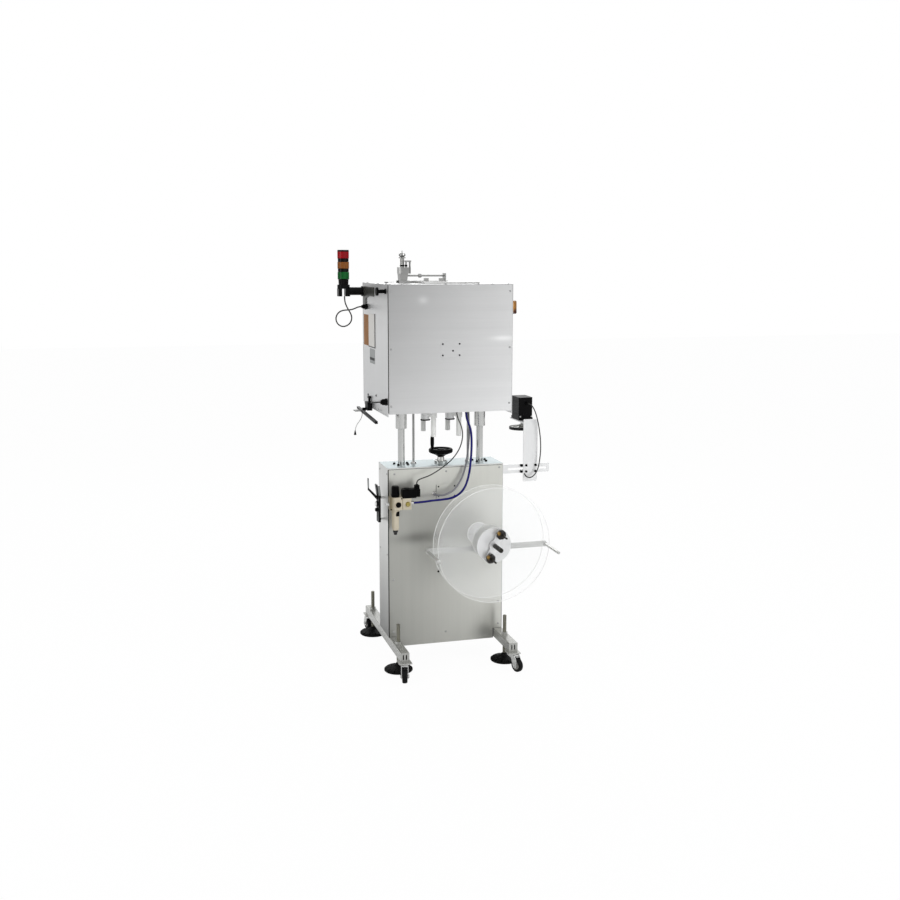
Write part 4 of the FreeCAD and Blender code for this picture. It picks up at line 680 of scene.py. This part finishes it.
dress(regulator_finish(), "air_regulator")
dress(black_plastic, "regulator_knob", "shutoff_valve")
dress(bright_hub, "air_fittings")
yellow_brass = brass("turned_brass")
piece_of("brass_ring", "frame", yellow_brass, lambda form: lathe(
    form, [(10.6, -0.5), (10.6, 4.2), (8.4, 7.6), (5.4, 7.6), (4.6, 4.6)], (-191.5, -166, 737), (0, -1, 0), 32))
piece_of("pressure_port", "frame", black_plastic, lambda form: lathe(
    form, [(12, -1), (12, 1.4), (11, 2.6), (9, 2.8), (8.2, 1.6)], (-234.5, -172, 737), (0, -1, 0), 32))
piece_of("sight_patch", "frame", black_plastic,
         lambda form: slab(form, (-243.5, -162.5, 685), (-228.5, -148, 706), 1.5))
piece_of("regulator_screws", "frame", black_screw, button_screws(
    [(-220, -168, 762.5), (-265.5, -168, 717.5)], (0, -1, 0), 3, 1.8))


# Side clamp: black bars on the cabinet's left side with a grey cap and two clamp knobs.

black_paint = plastic("black_paint", (0.002, 0.002, 0.0022, 1), 0.36, 0.1, 900, 0.09)
grey_paint = plastic("grey_plate", (0.30, 0.31, 0.31, 1), 0.45, 0.04)


def prism(form, outline, near, far):
    """A flat piece with its outline in x and z, between two depths."""
    rows = [[form.verts.new((x, y, z)) for x, z in outline] for y in (near, far)]
    form.faces.new(rows[0])
    form.faces.new(rows[1][::-1])
    for index in range(len(outline)):
        after = (index + 1) % len(outline)
        form.faces.new((rows[0][index], rows[0][after], rows[1][after], rows[1][index]))


def clamp_finish():
    """Black bars on two short steel rods that carry them off the cabinet's side."""
    clamp = Finish("clamp_paint_and_rods")
    place = clamp.place()
    rods = clamp.split(place)[0] > spot(-278.5, 0, 0).x
    wear = clamp.noise(place, 40, 4)
    black = clamp.mix(wear, (0.002, 0.002, 0.0022, 1), (0.006, 0.006, 0.006, 1))
    return clamp.done(clamp.principled(Base_Color=clamp.mix(rods, black, (0.56, 0.56, 0.55, 1)),
                                       Metallic=rods * 0.7, Roughness=wear * 0.1 + 0.3,
                                       Specular_IOR_Level=0.15))


dress(clamp_finish(), "clamp_bracket")
piece_of("clamp_thumb_nut", "frame", satin_aluminium, lambda form: lathe(
    form, [(11, -1), (11, 2.5), (9, 5), (3, 6)], (-298.5, -18, 714), (-1, 0, 0)))
piece_of("clamp_lock_nut", "frame", black_screw, lambda form: lathe(
    form, [(8, -1), (8, 3.5), (6, 5)], (-298.5, -18, 688), (-1, 0, 0)))
piece_of("clamp_grey_cover", "frame", grey_paint, lambda form: prism(
    form, [(-289, 748), (-279.5, 748), (-285, 792), (-294.5, 792)], -31, -29.5))
piece_of("clamp_arm_sleeve", "frame", grey_paint, lambda form: prism(
    form, [(-333, 786), (-328, 789), (-329, 820), (-334, 820)], -11.6, -0.4))


# Film feed: a slotted aluminium bar, an upright with a shelf, a ribbed black motor and a wheel with a
# dark rim.

def feed_wheel_finish():
    wheel = Finish("feed_wheel_metal_and_rubber")
    place = wheel.place()
    tyre_start = 0.052
    tyre = wheel.reach(spot(398, 50, 0), (1, 1, 0)) > tyre_start
    grit = wheel.noise(place, 300)
    black = wheel.mix(grit, (0.005, 0.005, 0.005, 1), (0.012, 0.012, 0.012, 1))
    rubber = wheel.principled(Base_Color=black, Roughness=grit * 0.2 + 0.45, Specular_IOR_Level=0.3)
    metal = wheel.principled(Base_Color=wheel.mix(grit, (0.44, 0.44, 0.42, 1), (0.54, 0.54, 0.52, 1)),
                             Metallic=0.9, Roughness=grit * 0.1 + 0.2)
    return wheel.done(wheel.node("ShaderNodeMixShader", {}, {0: tyre, 1: metal, 2: rubber}))


dress(pale_aluminium, "feed_bar", "feed_bracket")
dress(black_paint, "feed_motor")
dress(feed_wheel_finish(), "feed_wheel")
piece_of("feed_bolts", "frame", black_screw, button_screws(
    [(380, -66, 834), (380, -66, 862), (425, -66, 834), (425, -66, 862)], (0, -1, 0), 5.4, 7))
piece_of("feed_nuts", "frame", black_screw, lambda form: [
    lathe(form, [(6.5, -0.2, "hex"), (6.5, 7, "hex"), (4, 7), (4, 10)], (358, -60, z), (0, -1, 0))
    for z in (834, 862)])
piece_of("feed_side_bolt", "frame", bright_hub, lambda form: lathe(
    form, [(3, -2), (3, 9), (5.5, 9, "hex"), (5.5, 14, "hex")], (430, 20, 1052.5), (1, 0, 0)))
piece_of("motor_screws", "frame", bright_hub, button_screws(
    [(372, -3, 1074), (424, -3, 1074)], (0, -1, 0), 4.2, 3))


# Head: a folded cover in ground stainless, a screwed panel on the reel side and a hinged door on the
# operator side; plain plates take the place of the paper ones.

# The head's panel and door: a painted shade gradient, dark at the top left and light at the lower right, with
# two painted highlights.
head_steel = stainless(
    "head_stainless", 0.66, 0.34, "x", painted_shading=((-275, -164, 1700), (275, -164, 1130), 0.62, 1.29),
    painted_reflections=[((-123, -164, 1604), (20, None, 15), 0.26), ((232, -164, 1440), (52, None, 11), 0.3)])
# The cover darkens towards its roof: painted shade.
head_side = stainless("head_side_stainless", 0.74, 0.36, "z",
                      painted_shading=((0, 0, 1669), (0, 0, 1530), 0.6, 1.0))
dress(head_side, "head_cover")
dress(head_steel, "head_rear_panel", "head_door")
dress(pale_aluminium, "head_base_plate")
piece_of("head_screws", "head", screw_steel, button_screws(
    [(x, -164, z) for x in (-262, 262) for z in (1160, 1401, 1640)], (0, -1, 0), 4.6, 2.4))
piece_of("roof_screws", "head", screw_steel, button_screws(
    [(x, -148, 1669) for x in (-262, -210, -20, 124, 188, 258)]
    + [(-265, y, 1669) for y in (64, 278)], (0, 0, 1), 4.6, 2.6))
piece_of("head_access_plate", "head", head_steel,
         lambda form: slab(form, (-45, -165.2, 1361), (53, -163.8, 1428), 0.4))
# A black strip in the head panel's left seam: painted shade in the gap.
piece_of("head_gap_shade", "head", black_rubber,
         lambda form: slab(form, (-274.6, -164.4, 1131), (-271.2, -163.6, 1666), 0.1))
piece_of("roof_hook", "head", black_screw, lambda form: [
    slab(form, (-273, -122, 1668.5), (-269, -118, 1677), 0.4),
    slab(form, (-278, -123, 1676), (-262, -117, 1679), 0.4)])
piece_of("roof_rail", "head", screw_steel, lambda form: [
    slab(form, (-265, -121, 1668.5), (-262, -119, 1677), 0.3),
    slab(form, (-263, -123, 1676.4), (-236, -117, 1678.6), 0.3)])
piece_of("head_access_screws", "head", black_screw, button_screws(
    [(x, -165.2, z) for x in (-37, 37) for z in (1371, 1419)] + [(8, -165.2, 1390)], (0, -1, 0), 3.8, 2.2))
piece_of("door_screws", "head", screw_steel, button_screws(
    [(275.4, y, z) for y in (-120, 60, 240) for z in (1150, 1620)], (1, 0, 0), 4.6, 2.4))
dress(bearing_steel, "lift_bearings")
white_nylon = plastic("white_nylon", (0.80, 0.80, 0.78, 1), 0.4, 0.03)
dress(white_nylon, "sleeve_guides")
piece_of("guide_shoes", "head", satin_aluminium, lambda form: [
    lathe(form, [(18, -25), (18, 1)], (side * 57, 52, 1096), (0, 0, 1)) for side in (-1, 1)])
piece_of("guide_pads", "head", black_rubber, lambda form: [
    lathe(form, [(21, 0), (22, 1), (22, 4), (21, 5)], (side * 57, 52, 1066.5), (0, 0, 1), 32)
    for side in (-1, 1)])

orange_paint = plastic("orange_plate", (0.33, 0.125, 0.014, 1), 0.5, 0.14, 60, 0.2)
pale_paint = plastic("pale_plate", (0.66, 0.64, 0.61, 1), 0.5, 0.03)
piece_of("side_plate_orange", "head", orange_paint,
         lambda form: slab(form, (-276.6, 212, 1390), (-275.2, 314, 1528), 0.3))
piece_of("side_plate_pale", "head", pale_paint,
         lambda form: slab(form, (-276.6, 88, 1392), (-275.2, 212, 1535), 0.3))
piece_of("side_plate_edge", "head", black_paint, lambda form: [
    slab(form, (-277, 79, 1388), (-275.2, 87, 1537), 0.3),
    slab(form, (-277, 81, 1387), (-275.2, 214, 1390.5), 0.3)])
piece_of("side_plate_grey", "head", grey_paint,
         lambda form: slab(form, (-276.6, 92, 1317), (-275.2, 189, 1381), 0.3))
piece_of("side_plate_stripe", "head", black_paint,
         lambda form: slab(form, (-277, 92.5, 1331), (-275.6, 188.5, 1343), 0.3))
piece_of("sensor_mount_screws", "head", black_screw, button_screws(
    [(-275.4, 238, 1167), (-275.4, 69, 1181)], (-1, 0, 0), 5.4, 2.6))
piece_of("skirt_screws", "head", screw_steel, button_screws(
    [(-275.4, 84, 1126), (-275.4, 21, 1127), (-275.4, -31, 1129)], (-1, 0, 0), 4, 2))


# Film opener: a turned steel tip over the mandrel, held in a milled block on the roof with its small
# rods, a roller arm and two flat plates; two rubber rollers under the roof drive the film down it.

opener_steel = chromed("opener_steel", 0.42, 0.24)
# The bracket darkens towards its top: painted shade.
bracket_steel = stainless("bracket_steel", 0.50, 0.3, "x", 0.02,
                          painted_shading=((0, 0, 1672), (0, 0, 1735), 0.9, 0.66))
dress(opener_steel, "film_opener")
dress(bracket_steel, "opener_bracket")
dress(black_rubber, "drive_roller_left", "drive_roller_right")
piece_of("opener_collars", "head", black_rubber, lambda form: [
    lathe(form, [(10.4, -3), (10.4, 3)], (-120, 215, 1745), (0, 0, 1)),
    lathe(form, [(6.4, -3), (6.4, 5)], (-106, 199, 1744), (0, 0, 1), 16)])


# Signal tower: red, amber and green lens rings in ribbed plastic between black ones, clamped over a
# black tube that a steel plate holds to the head's left side.

def lens_finish():
    lamp_stack = Finish("signal_lenses")
    place = lamp_stack.place()
    height = lamp_stack.split(place)[2]
    ribs = (lamp_stack.split(place)[0] * 900).wave()
    grit = lamp_stack.noise(place, 120)
    black = (0.003, 0.002, 0.002, 1)
    sheen = lamp_stack.noise(lamp_stack.stretched(60, 60, 12), 1.0, 3)
    red = lamp_stack.mix(sheen, (0.14, 0.002, 0.004, 1), (0.42, 0.008, 0.014, 1))
    amber = lamp_stack.mix(sheen, (0.14, 0.035, 0.006, 1), (0.30, 0.12, 0.03, 1))
    green = lamp_stack.mix(sheen, (0.002, 0.045, 0.008, 1), (0.010, 0.15, 0.03, 1))
    tone = black
    for low, high, lens_tone in ((1.777, 1.806, red), (1.732, 1.7605, amber), (1.686, 1.7165, green)):
        tone = lamp_stack.mix(height.between(low, high), tone, lens_tone)
    return lamp_stack.done(lamp_stack.principled(Base_Color=tone, Roughness=grit * 0.1 + 0.16,
                                                 Specular_IOR_Level=0.14,
                                                 Normal=lamp_stack.bump(ribs, 0.0004, 0.4)))


def arm_finish():
    """Black paint on the tube and blocks, bare dark steel on the plate at the head."""
    bar = Finish("tower_arm_paint")
    place = bar.place()
    plate_start = -0.3305
    plate = bar.split(place)[0] > plate_start
    wear = bar.noise(place, 40, 4)
    steel = bar.mix(wear, (0.018, 0.018, 0.015, 1), (0.10, 0.10, 0.09, 1))
    tone = bar.mix(plate, (0.002, 0.002, 0.0022, 1), steel)
    return bar.done(bar.principled(Base_Color=tone, Roughness=wear * 0.1 + 0.3, Metallic=plate * 0.4,
                                   Specular_IOR_Level=0.12))


dress(lens_finish(), "signal_tower")
dress(arm_finish(), "tower_arm")


# Left side fittings and the isolator: moulded cable glands in the sheet, a black film sensor on an arm
# with a bright wire feeler, and an orange rotary switch screwed to the door side.

def sensor_finish():
    """A black body and arm, a bare plate, and a bright wire that ends in a black cone."""
    sensor = Finish("sensor_black_and_wire")
    place = sensor.place()
    x, y, z = sensor.split(place)
    wire = z.between(1.0105, 1.088) * y.between(0.1798, 0.1842)
    plate = z.between(1.0985, 1.1025) * (x < -0.372)
    grit = sensor.noise(place, 400, 3)
    tone = sensor.mix(plate, (0.002, 0.002, 0.0022, 1), (0.20, 0.20, 0.19, 1))
    tone = sensor.mix(wire, tone, (0.50, 0.50, 0.49, 1))
    return sensor.done(sensor.principled(
        Base_Color=tone, Roughness=grit * 0.15 + 0.3, Specular_IOR_Level=0.1,
        Normal=sensor.bump(grit, 0.0002, 0.3)))


dress(black_plastic, "cable_glands")
dress(sensor_finish(), "sensor_arm")


def switch_finish():
    """Orange moulding with painted shade towards its foot and on its face away from the door."""
    switch = Finish("switch_orange")
    place = switch.place()
    x, y, z = switch.split(place)
    grit = switch.noise(place, 300, 3)
    # Painted shade: darker towards the foot and on the face away from the door.
    foot = ((z - spot(0, 0, 1566).z) * -45.0).clamped()
    outer = ((x - spot(289, 0, 0).x) * 70.0).clamped()
    tone = switch.mix((foot + outer * 0.5).clamped(), (0.50, 0.235, 0.045, 1), (0.055, 0.012, 0.002, 1))
    return switch.done(switch.principled(
        Base_Color=tone, Roughness=grit * 0.15 + 0.3, Specular_IOR_Level=0.3))


dress(switch_finish(), "isolator_switch")
